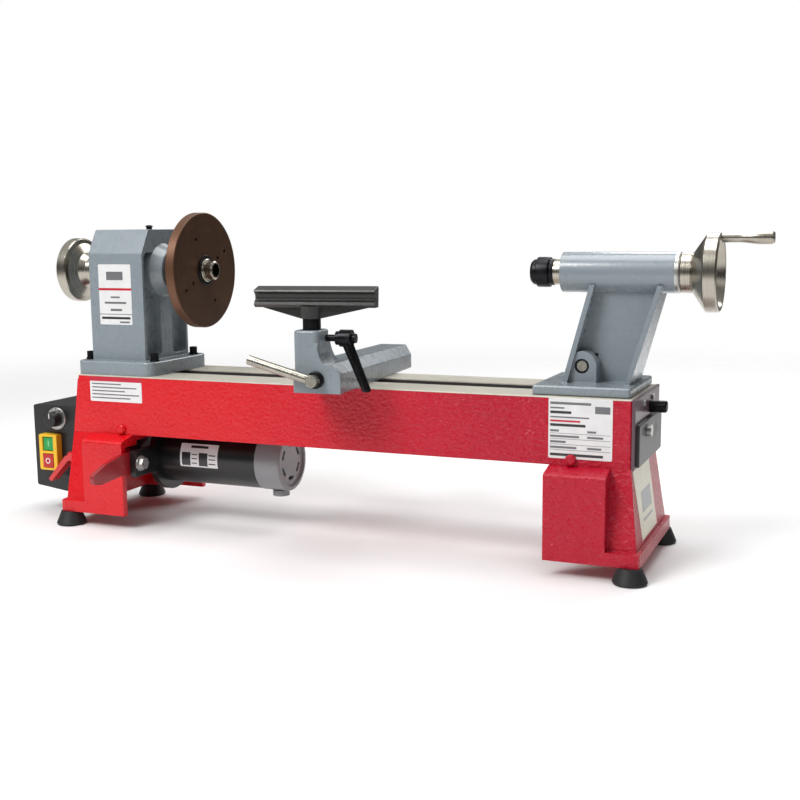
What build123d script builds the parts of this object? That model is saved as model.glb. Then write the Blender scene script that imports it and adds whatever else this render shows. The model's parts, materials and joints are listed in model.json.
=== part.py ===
"""Bench wood lathe: bed on two legs, headstock, tool rest, tailstock, motor and control box.

The origin is under the middle of the machine on the floor.  +X runs along the spindle from the
headstock to the tailstock, +Y points to the back, +Z is up.  All sizes are in millimetres.
"""
import os
from math import cos, radians, sin

from build123d import *

os.makedirs("parts", exist_ok=True)

# ---------------------------------------------------------------- driving dimensions
bed_left = -387.0
bed_length = 736.0
bed_half = 72.0
bed_top = 198.0
bed_depth = 77.0
bed_wall = 11.0
bed_draft = 10.0       # how far the left end leans out at the bottom
shear_thickness = 17.0
slot_half = 18.0
centre_height = 135.0

leg_width = 92.0
leg_flare = 11.0
leg_trim = 8.0         # how much shorter the left leg is on its inner side
leg_end_lean = 4.0
plinth_overhang = 16.0
plinth_half = 98.0
plinth_bottom = 17.5
plinth_height = 15.0
leg_wall = 8.0
panel_drop = 6.0

foot_base = 39.0
foot_neck = 26.0
foot_offset = 92.0

faceplate_diameter = 150.0
faceplate_thickness = 13.0
spindle_diameter = 25.0
nose_diameter = 30.0
quill_diameter = 29.0
barrel_diameter = 46.0
handwheel_diameter = 87.0
quill_travel = 60.0

banjo_angle = 5.0
rest_angle = 8.0
rest_length = 145.0
rest_shift = 6.5         # how far the bar's middle lies beyond its post
post_diameter = 21.0

motor_diameter = 76.0
motor_height = 86.0
running = 0.3          # clearance between faces that slide or turn past each other
fit = 0.05             # radial clearance of a shaft in its hole

# ---------------------------------------------------------------- derived places
bed_right = bed_left + bed_length
bed_mid = bed_left + bed_length / 2
bed_bottom = bed_top - bed_depth
shear_under = bed_top - shear_thickness
plinth_top = plinth_bottom + plinth_height
spindle_height = bed_top + centre_height
spindle_plane = Plane(origin=(0, 0, spindle_height), x_dir=(1, 0, 0), z_dir=(0, -1, 0))
spindle_axis = Axis((0, 0, spindle_height), (1, 0, 0))


def across(x, y=0.0, z=0.0):
    """A work plane that faces +X, with local x along +Y and local y along +Z."""
    return Plane(origin=(x, y, z), x_dir=(0, 1, 0), z_dir=(1, 0, 0))


def facing_back(y, x=0.0, z=0.0):
    """A work plane that faces +Y, with local x along -X and local y along +Z."""
    return Plane(origin=(x, y, z), x_dir=(-1, 0, 0), z_dir=(0, 1, 0))


def facing_front(y, x=0.0, z=0.0):
    """A work plane that faces -Y, with local x along +X and local y along +Z."""
    return Plane(origin=(x, y, z), x_dir=(1, 0, 0), z_dir=(0, -1, 0))


# ================================================================ bed and legs
slot_start = bed_left + 26
slot_end = bed_right - 14
window_half = 38.0
window_start = bed_left + 28
window_end = bed_left + 78
rib_places = [bed_left + 330, bed_left + 470, bed_left + 610]
rib_top = bed_bottom + 20

with BuildPart() as bed:
    with BuildSketch(Plane.XY.offset(bed_bottom)):
        with Locations((bed_mid, 0)):
            Rectangle(bed_length, 2 * bed_half)
    extrude(amount=bed_depth)
    fillet(bed.edges().filter_by(Axis.Z), 3)
    chamfer(bed.faces().sort_by(Axis.Z)[-1].edges().filter_by(Axis.X), 1.2)
    with BuildSketch(Plane.XZ.offset(-bed_half)):
        Polygon((bed_left - bed_draft, bed_bottom), (bed_left + 4, bed_bottom), (bed_left + 4, bed_top - 6),
                (bed_left, bed_top - 6), align=None)
    extrude(amount=2 * bed_half)
    with BuildSketch(Plane.XY.offset(bed_bottom)):
        with Locations((bed_mid, 0)):
            Rectangle(bed_length - 2 * bed_wall, 2 * (bed_half - bed_wall))
    extrude(amount=bed_depth - shear_thickness, mode=Mode.SUBTRACT)
    with BuildSketch(Plane.XY.offset(shear_under)):
        with Locations(((slot_start + slot_end) / 2, 0)):
            RectangleRounded(slot_end - slot_start, 2 * slot_half, 6)
        with Locations(((window_start + window_end) / 2, 0)):
            RectangleRounded(window_end - window_start, 2 * window_half, 6)
    extrude(amount=shear_thickness, mode=Mode.SUBTRACT)
    for rib_x in rib_places:
        with Locations((rib_x, 0, bed_bottom + 3)):
            Box(9, 2 * (bed_half - bed_wall), rib_top - bed_bottom - 3,
                align=(Align.CENTER, Align.CENTER, Align.MIN))
bed.part.label = "bed"
export_step(bed.part, "parts/bed.step")

# --- legs: hollow castings, open below and on the side that faces the other leg
leg_inner = bed_left + leg_width
leg_trimmed = leg_inner - leg_trim
leg_top_left = bed_left - bed_draft
leg_outer_low = bed_left - leg_flare
plinth_outer = bed_left - plinth_overhang
leg_half_low = 88.0
panel_outer = bed_left + 22
ledge_top = bed_bottom
ledge_low = bed_bottom - panel_drop
pad_x = bed_left - 5
stud_top = 29.0
blade_left = leg_trimmed + 0.8
pivot_inner = blade_left - 10
pivot_y = -80.0
lock_y = -62.0
lock_z = 84.0
lock_pin_radius = 3.5

with BuildPart() as leg_casting:
    with BuildSketch(Plane.XY.offset(plinth_top)):
        with Locations(((leg_outer_low + leg_inner) / 2, 0)):
            Rectangle(leg_inner - leg_outer_low, 2 * leg_half_low)
    with BuildSketch(Plane.XY.offset(bed_bottom)):
        with Locations(((bed_left + leg_inner) / 2, 0)):
            Rectangle(leg_width, 2 * bed_half)
    loft()
    with BuildSketch(Plane.XY.offset(plinth_bottom)):
        with Locations(((plinth_outer + leg_inner) / 2, 0)):
            Rectangle(leg_inner - plinth_outer, 2 * plinth_half)
    extrude(amount=plinth_height)
    with BuildSketch(across(panel_outer)):
        Polygon((-plinth_half, plinth_bottom), (plinth_half, plinth_bottom),
                (plinth_half, ledge_low), (bed_half, ledge_top),
                (-bed_half, ledge_top), (-plinth_half, ledge_low), align=None)
    extrude(amount=leg_inner - panel_outer)
    ledge_edges = leg_casting.edges().filter_by(Axis.X)
    fillet(ledge_edges.filter_by_position(Axis.Z, ledge_low - 1, ledge_low + 1), 4)
    corner_edges = leg_casting.edges().filter_by(Axis.Z)
    fillet(corner_edges.filter_by_position(Axis.X, plinth_outer - 1, plinth_outer + 1), 6)
    # the hollow behind the walls
    with BuildSketch(Plane.XY.offset(plinth_bottom)):
        with Locations(((leg_outer_low + leg_wall + leg_inner + 2) / 2, 0)):
            Rectangle(leg_inner + 2 - leg_outer_low - leg_wall, 2 * (leg_half_low - leg_wall))
    with BuildSketch(Plane.XY.offset(bed_bottom - leg_wall)):
        with Locations(((bed_left + leg_wall + leg_inner + 2) / 2, 0)):
            Rectangle(leg_width + 2 - leg_wall, 2 * (bed_half - leg_wall))
    loft(mode=Mode.SUBTRACT)
    with BuildSketch(across(panel_outer + leg_wall)):
        with Locations((0, (plinth_bottom + ledge_low - leg_wall) / 2)):
            Rectangle(2 * (plinth_half - leg_wall), ledge_low - leg_wall - plinth_bottom)
    extrude(amount=leg_inner + 2 - panel_outer - leg_wall, mode=Mode.SUBTRACT)
    # belt window in the top flange
    with Locations(((window_start + window_end) / 2, 0, bed_bottom)):
        Box(window_end - window_start, 2 * window_half, 4 * leg_wall, mode=Mode.SUBTRACT)
    # pads that take the feet, with blind threads for the studs
    for side in (-1, 1):
        with Locations((pad_x + 1, side * (foot_offset - 4), plinth_bottom)):
            Box(22, 19, plinth_height - 0.5, align=(Align.CENTER, Align.CENTER, Align.MIN))
        with Locations((pad_x, side * foot_offset, plinth_bottom)):
            Cylinder(4.2, stud_top + 0.5 - plinth_bottom, align=(Align.CENTER, Align.CENTER, Align.MIN),
                     mode=Mode.SUBTRACT)

with BuildPart() as left_leg:
    add(leg_casting.part)
    # the outer end follows the bed
    with BuildSketch(Plane.XY.offset(plinth_top)):
        with Locations((leg_top_left - leg_end_lean + 9, 0)):
            Rectangle(18, 2 * leg_half_low)
    with BuildSketch(Plane.XY.offset(bed_bottom)):
        with Locations((leg_top_left + 9, 0)):
            Rectangle(18, 2 * bed_half)
    loft()
    # the inner side is shorter than the right leg's
    with Locations((leg_trimmed, 0, (plinth_bottom + bed_bottom) / 2)):
        Box(leg_trim + 4, 2 * plinth_half + 2, bed_bottom - plinth_bottom + 2,
            align=(Align.MIN, Align.CENTER, Align.CENTER), mode=Mode.SUBTRACT)
    # bracket that carries the motor's pivot bolt
    with BuildSketch(across(pivot_inner - 6)):
        Polygon((-plinth_half + leg_wall - 1, motor_height - 16), (pivot_y + 14, motor_height - 16),
                (pivot_y + 14, motor_height + 16), (-plinth_half + leg_wall - 1, motor_height + 16), align=None)
        with Locations((pivot_y, motor_height)):
            Circle(5, mode=Mode.SUBTRACT)
    extrude(amount=6)
    # way for the lock lever's pin
    with BuildSketch(across(leg_top_left - 10, lock_y, lock_z)):
        Circle(lock_pin_radius + fit)
    extrude(amount=34, mode=Mode.SUBTRACT)
left_leg.part.label = "left_leg"
export_step(left_leg.part, "parts/left_leg.step")

with BuildPart() as right_leg:
    add(leg_casting.part.mirror(Plane.YZ.offset(bed_mid)))
right_leg.part.label = "right_leg"
export_step(right_leg.part, "parts/right_leg.step")

# --- feet with their studs, and the bolts that hold the legs to the bed
foot_height = plinth_bottom
foot_places = [(x, side * foot_offset) for x in (pad_x, 2 * bed_mid - pad_x) for side in (-1, 1)]
foot_profile = [(4.2, 3.0), (9, 3.0), (9, 0), (foot_base / 2 - 1, 0), (foot_base / 2, 2),
                (foot_neck / 2, foot_height), (4.2, foot_height)]

with BuildPart() as rubber_feet:
    for foot_x, foot_y in foot_places:
        with BuildSketch(Plane(origin=(foot_x, foot_y, 0), x_dir=(1, 0, 0), z_dir=(0, -1, 0))):
            Polygon(*foot_profile, align=None)
        revolve(axis=Axis((foot_x, foot_y, 0), (0, 0, 1)))
rubber_feet.part.label = "rubber_feet"
export_step(rubber_feet.part, "parts/rubber_feet.step")

with BuildPart() as foot_studs:
    for foot_x, foot_y in foot_places:
        with Locations((foot_x, foot_y, 3.0)):
            Cylinder(4.1, stud_top - 3, align=(Align.CENTER, Align.CENTER, Align.MIN))
        with BuildSketch(Plane.XY.offset(0.5)):
            with Locations((foot_x, foot_y)):
                RegularPolygon(8, 6)
        extrude(amount=2.5)
foot_studs.part.label = "foot_studs"
export_step(foot_studs.part, "parts/foot_studs.step")

leg_bolt_z = bed_bottom + 6.8
leg_bolt_x = [bed_left + 67, bed_right - 67]
with BuildPart() as leg_bolts:
    for bolt_x in leg_bolt_x:
        for side in (-1, 1):
            with BuildSketch(Plane(origin=(bolt_x, side * bed_half, leg_bolt_z), z_dir=(0, side, 0))):
                Circle(6.5)
            extrude(amount=5)
    fillet(leg_bolts.edges().filter_by(GeomType.CIRCLE).filter_by_position(Axis.Y, -bed_half - 5.1, -bed_half - 4.9), 3)
    fillet(leg_bolts.edges().filter_by(GeomType.CIRCLE).filter_by_position(Axis.Y, bed_half + 4.9, bed_half + 5.1), 3)
leg_bolts.part.label = "leg_bolts"
export_step(leg_bolts.part, "parts/leg_bolts.step")

# --- the right end of the bed
plate_thickness = 3.5
with BuildPart() as end_plate:
    with BuildSketch(across(bed_right)):
        with Locations((0, bed_top - bed_depth / 2)):
            Rectangle(2 * bed_half, bed_depth)
    extrude(amount=plate_thickness)
    chamfer(end_plate.faces().sort_by(Axis.X)[-1].edges(), 0.6)
end_plate.part.label = "end_plate"
export_step(end_plate.part, "parts/end_plate.step")

plate_face = bed_right + plate_thickness
cover_height = 48.0
with BuildPart() as end_cover:
    with BuildSketch(across(plate_face)):
        with Locations((1, bed_bottom + 1 + cover_height / 2)):
            RectangleRounded(2 * bed_half - 10, cover_height, 4)
    extrude(amount=4)
    fillet(end_cover.faces().sort_by(Axis.X)[-1].edges(), 1.5)
end_cover.part.label = "end_cover"
export_step(end_cover.part, "parts/end_cover.step")

with BuildPart() as end_stop:
    with BuildSketch(across(plate_face, 12, bed_top - 18)):
        Circle(7)
    extrude(amount=20)
    chamfer(end_stop.faces().sort_by(Axis.X)[-1].edges(), 1.5)
end_stop.part.label = "end_stop"
export_step(end_stop.part, "parts/end_stop.step")

# ================================================================ headstock
flange_left = bed_left - 4
flange_right = bed_left + 114
flange_half = 68.0
flange_height = 18.0
body_left = bed_left + 10.5
body_right = bed_left + 94
body_half = 50.5
shoulder_z = spindle_height + 23
roof_z = spindle_height + 54
roof_half = 33.0
casting_wall = 9.0
boss_end = bed_left + 108.5
boss_root_radius = 35.0
boss_tip_radius = 27.5
flange_z = bed_top + flange_height
front_bore = 26.0
rear_bore = 23.5
bearing_width = 15.0
door_left = body_left + 14
door_right = body_right - 16
door_low = flange_z + 12
door_high = shoulder_z - 8

with BuildPart() as headstock:
    with BuildSketch(Plane.XY.offset(bed_top)):
        with Locations(((flange_left + flange_right) / 2, 0)):
            RectangleRounded(flange_right - flange_left, 2 * flange_half, 12)
    extrude(amount=flange_height)
    fillet(headstock.faces().sort_by(Axis.Z)[-1].edges(), 2.5)
    with BuildSketch(across(body_left)):
        Polygon((-body_half, flange_z - 4), (body_half, flange_z - 4), (body_half, shoulder_z),
                (roof_half, roof_z), (-roof_half, roof_z), (-body_half, shoulder_z), align=None)
    extrude(amount=body_right - body_left)
    long_edges = headstock.edges().filter_by(Axis.X).filter_by_position(Axis.Z, shoulder_z - 1, roof_z + 1)
    fillet(long_edges, 5)
    # pockets beside the rib under the front boss
    with BuildSketch(across(body_right)):
        for side in (-1, 1):
            with Locations((side * 29.5, (flange_z + shoulder_z) / 2 + 3)):
                RectangleRounded(34, shoulder_z - flange_z - 4, 8)
    extrude(amount=-11, mode=Mode.SUBTRACT)
    # front boss
    with BuildSketch(spindle_plane):
        Polygon((body_right - 14, 0), (boss_end, 0), (boss_end, boss_tip_radius - 1),
                (boss_end - 1, boss_tip_radius), (body_right, boss_root_radius),
                (body_right - 14, boss_root_radius), align=None)
    revolve(axis=spindle_axis)
    # rear boss
    with BuildSketch(across(body_left, 0, spindle_height)):
        Circle(28)
    extrude(amount=-6)
    # belt room inside, open at the back and below
    with BuildSketch(Plane.XY.offset(bed_top - 1)):
        with Locations(((body_left + 14 + body_right - 16) / 2, 0)):
            Rectangle(body_right - body_left - 30, 2 * (body_half - casting_wall))
    extrude(amount=spindle_height + 39 - bed_top, mode=Mode.SUBTRACT)
    with BuildSketch(facing_back(body_half - casting_wall - 1, 0, 0)):
        with Locations((-(door_left + door_right) / 2, (door_low + door_high) / 2)):
            RectangleRounded(door_right - door_left - 8, door_high - door_low - 8, 5)
    extrude(amount=casting_wall + 4, mode=Mode.SUBTRACT)
    # bearing seats and the spindle way
    with BuildSketch(across(body_left - 10, 0, spindle_height)):
        Circle(17)
    extrude(amount=boss_end - body_left + 20, mode=Mode.SUBTRACT)
    with BuildSketch(across(boss_end - 22, 0, spindle_height)):
        Circle(front_bore)
    extrude(amount=-bearing_width, mode=Mode.SUBTRACT)
    with BuildSketch(across(body_left - 6, 0, spindle_height)):
        Circle(rear_bore)
    extrude(amount=bearing_width, mode=Mode.SUBTRACT)
    # lock pin way in the roof
    with Locations((body_left + 62, 0, roof_z)):
        Cylinder(4.0, 60, mode=Mode.SUBTRACT)
headstock.part.label = "headstock"
export_step(headstock.part, "parts/headstock.step")

with BuildPart() as belt_cover:
    with BuildSketch(facing_back(body_half)):
        with Locations((-(door_left + door_right) / 2, (door_low + door_high) / 2)):
            RectangleRounded(door_right - door_left, door_high - door_low, 6)
    extrude(amount=4)
    fillet(belt_cover.faces().sort_by(Axis.Y)[-1].edges(), 1.5)
belt_cover.part.label = "belt_cover"
export_step(belt_cover.part, "parts/belt_cover.step")

with BuildPart() as cover_screws:
    for screw_y in (-26, 26):
        with BuildSketch(across(plate_face, screw_y, bed_top - 9)):
            Circle(3.6)
        extrude(amount=2.2)
    with BuildSketch(across(plate_face + 4, -20, bed_bottom + 36)):
        Circle(7)
    extrude(amount=5)
    with BuildSketch(facing_back(body_half + 4)):
        with Locations((-(door_left + door_right) / 2, (door_low + door_high) / 2)):
            with GridLocations(door_right - door_left - 10, door_high - door_low - 10, 2, 2):
                Circle(3)
    extrude(amount=2)
cover_screws.part.label = "cover_screws"
export_step(cover_screws.part, "parts/cover_screws.step")

screw_half_y = flange_half - 22
screw_places = [(x, y) for x in (flange_left + 7.5, flange_right - 9) for y in (-screw_half_y, screw_half_y)]
with BuildPart() as headstock_screws:
    for screw_x, screw_y in screw_places:
        with Locations((screw_x, screw_y, flange_z)):
            Cylinder(6.3, 1.95, align=(Align.CENTER, Align.CENTER, Align.MIN))
        with Locations((screw_x, screw_y, flange_z + 2)):
            Cylinder(5.2, 8.5, align=(Align.CENTER, Align.CENTER, Align.MIN))
        with BuildSketch(Plane.XY.offset(flange_z + 10.5)):
            with Locations((screw_x, screw_y)):
                RegularPolygon(3.2, 6)
        extrude(amount=-4, mode=Mode.SUBTRACT)
headstock_screws.part.label = "headstock_screws"
export_step(headstock_screws.part, "parts/headstock_screws.step")

front_bearing_face = boss_end - 22
for bearing_name, face_x, direction, bore_radius in (
        ("front_bearing", front_bearing_face, -1, front_bore),
        ("rear_bearing", body_left - 6, 1, rear_bore)):
    inner_radius = spindle_diameter / 2
    track_radius = (inner_radius + bore_radius) / 2
    ball_radius = (bore_radius - inner_radius) * 0.28
    with BuildPart() as bearing:
        with BuildSketch(across(face_x, 0, spindle_height)):
            Circle(bore_radius)
            Circle(track_radius + 0.7 * ball_radius, mode=Mode.SUBTRACT)
            Circle(track_radius - 0.7 * ball_radius)
            Circle(inner_radius, mode=Mode.SUBTRACT)
        extrude(amount=direction * bearing_width)
        with BuildSketch(Plane(origin=(face_x + direction * bearing_width / 2, 0, spindle_height),
                               x_dir=(1, 0, 0), z_dir=(0, -1, 0))):
            with Locations((0, track_radius)):
                Circle(ball_radius + 0.1)
        revolve(axis=spindle_axis, mode=Mode.SUBTRACT)
        for ball in range(8):
            angle = radians(45 * ball)
            with Locations((face_x + direction * bearing_width / 2, track_radius * cos(angle),
                            spindle_height + track_radius * sin(angle))):
                Sphere(ball_radius)
    bearing.part.label = bearing_name
    export_step(bearing.part, f"parts/{bearing_name}.step")

# ================================================================ spindle and what turns with it
faceplate_back = bed_left + 145.5
faceplate_face = faceplate_back + faceplate_thickness
spindle_tip = bed_left + 174
wheel_left = bed_left - 51
wheel_rim_width = 15.0
wheel_radius = handwheel_diameter / 2 - 0.5
shaft_radius = spindle_diameter / 2 - fit
pulley_left = bed_left + 34
pulley_width = 30.0
spindle_pulley_radius = 32.0
motor_pulley_radius = 20.0
taper_small = 7.0
taper_large = 8.9

with BuildPart() as spindle:
    with BuildSketch(spindle_plane):
        Polygon((wheel_left + 6, 0), (spindle_tip, 0), (spindle_tip, 10.5), (spindle_tip - 1.5, 12),
                (faceplate_face + 4, 12), (faceplate_face + 4, nose_diameter / 2 - 1),
                (faceplate_face + 3, nose_diameter / 2), (boss_end + 2, nose_diameter / 2),
                (boss_end + 2, 16.5), (boss_end - 4, 16.5), (boss_end - 4, shaft_radius),
                (wheel_left + 6, shaft_radius), align=None)
    revolve(axis=spindle_axis)
    # drawbar way and the taper socket in the nose
    with BuildSketch(spindle_plane):
        Polygon((wheel_left, 0), (spindle_tip + 1, 0), (spindle_tip + 1, taper_large), (spindle_tip, taper_large),
                (spindle_tip - 60, taper_small), (spindle_tip - 60, 4.8), (wheel_left, 4.8), align=None)
    revolve(axis=spindle_axis, mode=Mode.SUBTRACT)
spindle.part.label = "spindle"
export_step(spindle.part, "parts/spindle.step")

hole_angle = 27.0
faceplate_holes = [(53, 0), (34, 0), (45, 90), (53, 180), (34, 180), (45, 270)]
with BuildPart() as faceplate:
    with BuildSketch(spindle_plane):
        Polygon((boss_end + 4, nose_diameter / 2 + fit), (faceplate_face, nose_diameter / 2 + fit),
                (faceplate_face, faceplate_diameter / 2 - 1),
                (faceplate_face - 1, faceplate_diameter / 2), (faceplate_back + 1, faceplate_diameter / 2),
                (faceplate_back, faceplate_diameter / 2 - 1), (faceplate_back, 31), (faceplate_back - 4, 27),
                (boss_end + 5, 27), (boss_end + 4, 26), align=None)
    revolve(axis=spindle_axis)
    for radius, angle in faceplate_holes:
        hole_y = radius * cos(radians(hole_angle + angle))
        hole_z = spindle_height + radius * sin(radians(hole_angle + angle))
        with BuildSketch(across(faceplate_back, hole_y, hole_z)):
            Circle(2.6)
        extrude(amount=faceplate_thickness, mode=Mode.SUBTRACT)
faceplate.part.label = "faceplate"
export_step(faceplate.part, "parts/faceplate.step")

with BuildPart() as outboard_handwheel:
    with BuildSketch(spindle_plane):
        Polygon((wheel_left + 4, shaft_radius + fit), (body_left - 8, shaft_radius + fit), (body_left - 8, 17),
                (wheel_left + 30, 19), (wheel_left + 22, 24), (wheel_left + wheel_rim_width + 1, wheel_radius - 7),
                (wheel_left + wheel_rim_width, wheel_radius - 1.5), (wheel_left + wheel_rim_width - 1.5, wheel_radius),
                (wheel_left + 2, wheel_radius), (wheel_left, wheel_radius - 2), (wheel_left, wheel_radius - 6),
                (wheel_left + 2, wheel_radius - 8), (wheel_left + 12, 24), (wheel_left + 4, 20), align=None)
    revolve(axis=spindle_axis)
outboard_handwheel.part.label = "outboard_handwheel"
export_step(outboard_handwheel.part, "parts/outboard_handwheel.step")


def pulley_outline(left, width, big, small):
    """Half section of a flat two-flange belt pulley, as (x, r) points."""
    return [(left, small), (left + width, small), (left + width, big + 3), (left + width - 3, big + 3),
            (left + width - 4, big), (left + 4, big), (left + 3, big + 3), (left, big + 3)]


with BuildPart() as spindle_pulley:
    with BuildSketch(spindle_plane):
        Polygon(*pulley_outline(pulley_left, pulley_width, spindle_pulley_radius, shaft_radius), align=None)
    revolve(axis=spindle_axis)
spindle_pulley.part.label = "spindle_pulley"
export_step(spindle_pulley.part, "parts/spindle_pulley.step")

# --- spindle lock pin in the headstock roof
lock_pin_x = body_left + 62
pin_travel = 3.0
with BuildPart() as lock_pin:
    with BuildSketch(Plane(origin=(lock_pin_x, 0, 0), x_dir=(1, 0, 0), z_dir=(0, -1, 0))):
        Polygon((0, spindle_height + 35 + pin_travel + 1), (3.95, spindle_height + 35 + pin_travel + 1),
                (3.95, roof_z + pin_travel + 0.3), (5.2, roof_z + pin_travel + 0.3), (5.2, roof_z + pin_travel + 0.8),
                (4.0, roof_z + pin_travel + 2.2), (0, roof_z + pin_travel + 2.8), align=None)
    revolve(axis=Axis((lock_pin_x, 0, 0), (0, 0, 1)))
lock_pin.part.label = "lock_pin"
export_step(lock_pin.part, "parts/lock_pin.step")

# ================================================================ motor
motor_plane = Plane(origin=(0, 0, motor_height), x_dir=(1, 0, 0), z_dir=(0, -1, 0))
motor_axis = Axis((0, 0, motor_height), (1, 0, 0))
mount_left = blade_left + 6.5
mount_right = mount_left + 14
tube_right = bed_left + 245
cap_right = bed_left + 281
motor_radius = motor_diameter / 2
mount_radius = 49.0
rotor_radius = 8.0

with BuildPart() as motor_housing:
    with BuildSketch(across(mount_right - 6, 0, motor_height)):
        Circle(motor_radius)
    extrude(amount=tube_right - mount_right + 6)
    with BuildSketch(across(mount_right + 4, 0, motor_height)):
        Circle(rotor_radius + 24)
    extrude(amount=tube_right - mount_right - 4, mode=Mode.SUBTRACT)
    with BuildSketch(across(mount_right - 6, 0, motor_height)):
        Circle(rotor_radius + 1)
    extrude(amount=12, mode=Mode.SUBTRACT)
motor_housing.part.label = "motor_housing"
export_step(motor_housing.part, "parts/motor_housing.step")

with BuildPart() as motor_end_cap:
    with BuildSketch(across(tube_right, 0, motor_height)):
        Circle(motor_radius + 0.6)
    extrude(amount=cap_right - tube_right)
    fillet(motor_end_cap.faces().sort_by(Axis.X)[-1].edges(), 3)
    with BuildSketch(across(cap_right, 0, motor_height)):
        Circle(motor_radius - 5)
    extrude(amount=-3, mode=Mode.SUBTRACT)
    with BuildSketch(across(cap_right - 3, 0, motor_height)):
        for slot in range(6):
            slot_angle = radians(60 * slot + 30)
            with Locations(Location((22 * cos(slot_angle), 22 * sin(slot_angle), 0), 60 * slot + 30)):
                SlotOverall(14, 5, rotation=90)
    extrude(amount=-8, mode=Mode.SUBTRACT)
    with BuildSketch(across(tube_right, 0, motor_height)):
        Circle(motor_radius - 6)
    extrude(amount=cap_right - tube_right - 8, mode=Mode.SUBTRACT)
motor_end_cap.part.label = "motor_end_cap"
export_step(motor_end_cap.part, "parts/motor_end_cap.step")

brush_x = bed_left + 263
with BuildPart() as motor_brush_caps:
    for start, reach in ((motor_height - motor_radius - 8, 7.4), (motor_height + motor_radius + 0.6, 4.4)):
        with Locations((brush_x, 0, start)):
            Cylinder(11, reach, align=(Align.CENTER, Align.CENTER, Align.MIN))
motor_brush_caps.part.label = "motor_brush_caps"
export_step(motor_brush_caps.part, "parts/motor_brush_caps.step")

with BuildPart() as motor_mount:
    with BuildSketch(across(mount_left, 0, motor_height)):
        Circle(mount_radius)
        with Locations((pivot_y / 2 - 5, 0)):
            Rectangle(-pivot_y + 10, 34)
        with Locations((pivot_y, 0)):
            Circle(5, mode=Mode.SUBTRACT)
        Circle(16, mode=Mode.SUBTRACT)
    extrude(amount=mount_right - 6 - mount_left)
motor_mount.part.label = "motor_mount"
export_step(motor_mount.part, "parts/motor_mount.step")

shaft_left = bed_left + 30
rotor_right = tube_right + 4
with BuildPart() as motor_rotor:
    with BuildSketch(motor_plane):
        Polygon((shaft_left, 0), (rotor_right, 0), (rotor_right, 5), (tube_right - 10, 5),
                (tube_right - 10, rotor_radius + 20), (mount_right + 14, rotor_radius + 20),
                (mount_right + 14, rotor_radius - 1), (shaft_left, rotor_radius - 1), align=None)
    revolve(axis=motor_axis)
motor_rotor.part.label = "motor_rotor"
export_step(motor_rotor.part, "parts/motor_rotor.step")

with BuildPart() as motor_pulley:
    with BuildSketch(motor_plane):
        Polygon(*pulley_outline(pulley_left, pulley_width, motor_pulley_radius, rotor_radius - 1), align=None)
    revolve(axis=motor_axis)
motor_pulley.part.label = "motor_pulley"
export_step(motor_pulley.part, "parts/motor_pulley.step")

# belt: outer tangent lines round both pulleys
belt_thickness = 2.6
belt_gap = 0.6
belt_left = pulley_left + 6
belt_width = pulley_width - 12
belt_rise = spindle_height - motor_height
lean = (spindle_pulley_radius - motor_pulley_radius) / belt_rise
inner_top = spindle_pulley_radius + belt_gap
inner_low = motor_pulley_radius + belt_gap
with BuildPart() as drive_belt:
    with BuildSketch(across(belt_left, 0, motor_height)):
        for grow, kind in ((belt_thickness, Mode.ADD), (0, Mode.SUBTRACT)):
            top_r = inner_top + grow
            low_r = inner_low + grow
            with Locations((0, 0)):
                Circle(low_r, mode=kind)
            with Locations((0, belt_rise)):
                Circle(top_r, mode=kind)
            side_cos = (1 - lean * lean) ** 0.5
            Polygon((-low_r * side_cos, -low_r * lean), (low_r * side_cos, -low_r * lean),
                    (top_r * side_cos, belt_rise - top_r * lean), (-top_r * side_cos, belt_rise - top_r * lean),
                    align=None, mode=kind)
    extrude(amount=belt_width)
drive_belt.part.label = "drive_belt"
export_step(drive_belt.part, "parts/drive_belt.step")

# --- tension lever: a flat blade on the mount, reaching out in front of the left leg
with BuildPart() as tension_lever:
    with BuildSketch(across(blade_left)):
        Polygon((pivot_y + 16, motor_height + 14), (pivot_y - 26, motor_height + 15), (pivot_y - 58, motor_height + 9),
                (pivot_y - 86, motor_height - 1), (pivot_y - 84, motor_height - 12),
                (pivot_y - 72, motor_height - 15), (pivot_y - 26, motor_height - 12),
                (pivot_y + 16, motor_height - 14), align=None)
        with Locations((pivot_y, motor_height)):
            Circle(5, mode=Mode.SUBTRACT)
    extrude(amount=6)
    fillet(tension_lever.edges().filter_by(Axis.X).group_by(Axis.Y)[0], 5)
tension_lever.part.label = "tension_lever"
export_step(tension_lever.part, "parts/tension_lever.step")

with BuildPart() as pivot_bolt:
    with BuildSketch(across(pivot_inner - 6, pivot_y, motor_height)):
        Circle(5 - fit)
    extrude(amount=mount_right + 1 - pivot_inner)
    with BuildSketch(across(mount_right - 5.6, pivot_y, motor_height)):
        Circle(10)
    extrude(amount=2)
    with BuildSketch(across(mount_right - 3.6, pivot_y, motor_height)):
        RegularPolygon(8, 6)
    extrude(amount=6)
    with BuildSketch(across(blade_left - 0.4, pivot_y, motor_height)):
        Circle(9)
    extrude(amount=pivot_inner + 0.4 - blade_left)
pivot_bolt.part.label = "pivot_bolt"
export_step(pivot_bolt.part, "parts/pivot_bolt.step")

# ================================================================ control box
box_left = bed_left - 99
box_right = bed_left - 19
box_front = -45.0
box_back = 45.0
box_top = 149.0
box_low_left = 36.0
box_low_right = 26.0
box_wall = 2.0
knob_x = bed_left - 60
knob_z = 131.0
switch_x = bed_left - 69
switch_z = 85.0
spacer_places = [(-25, 60), (25, 60), (-25, 120), (25, 120)]

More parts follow.
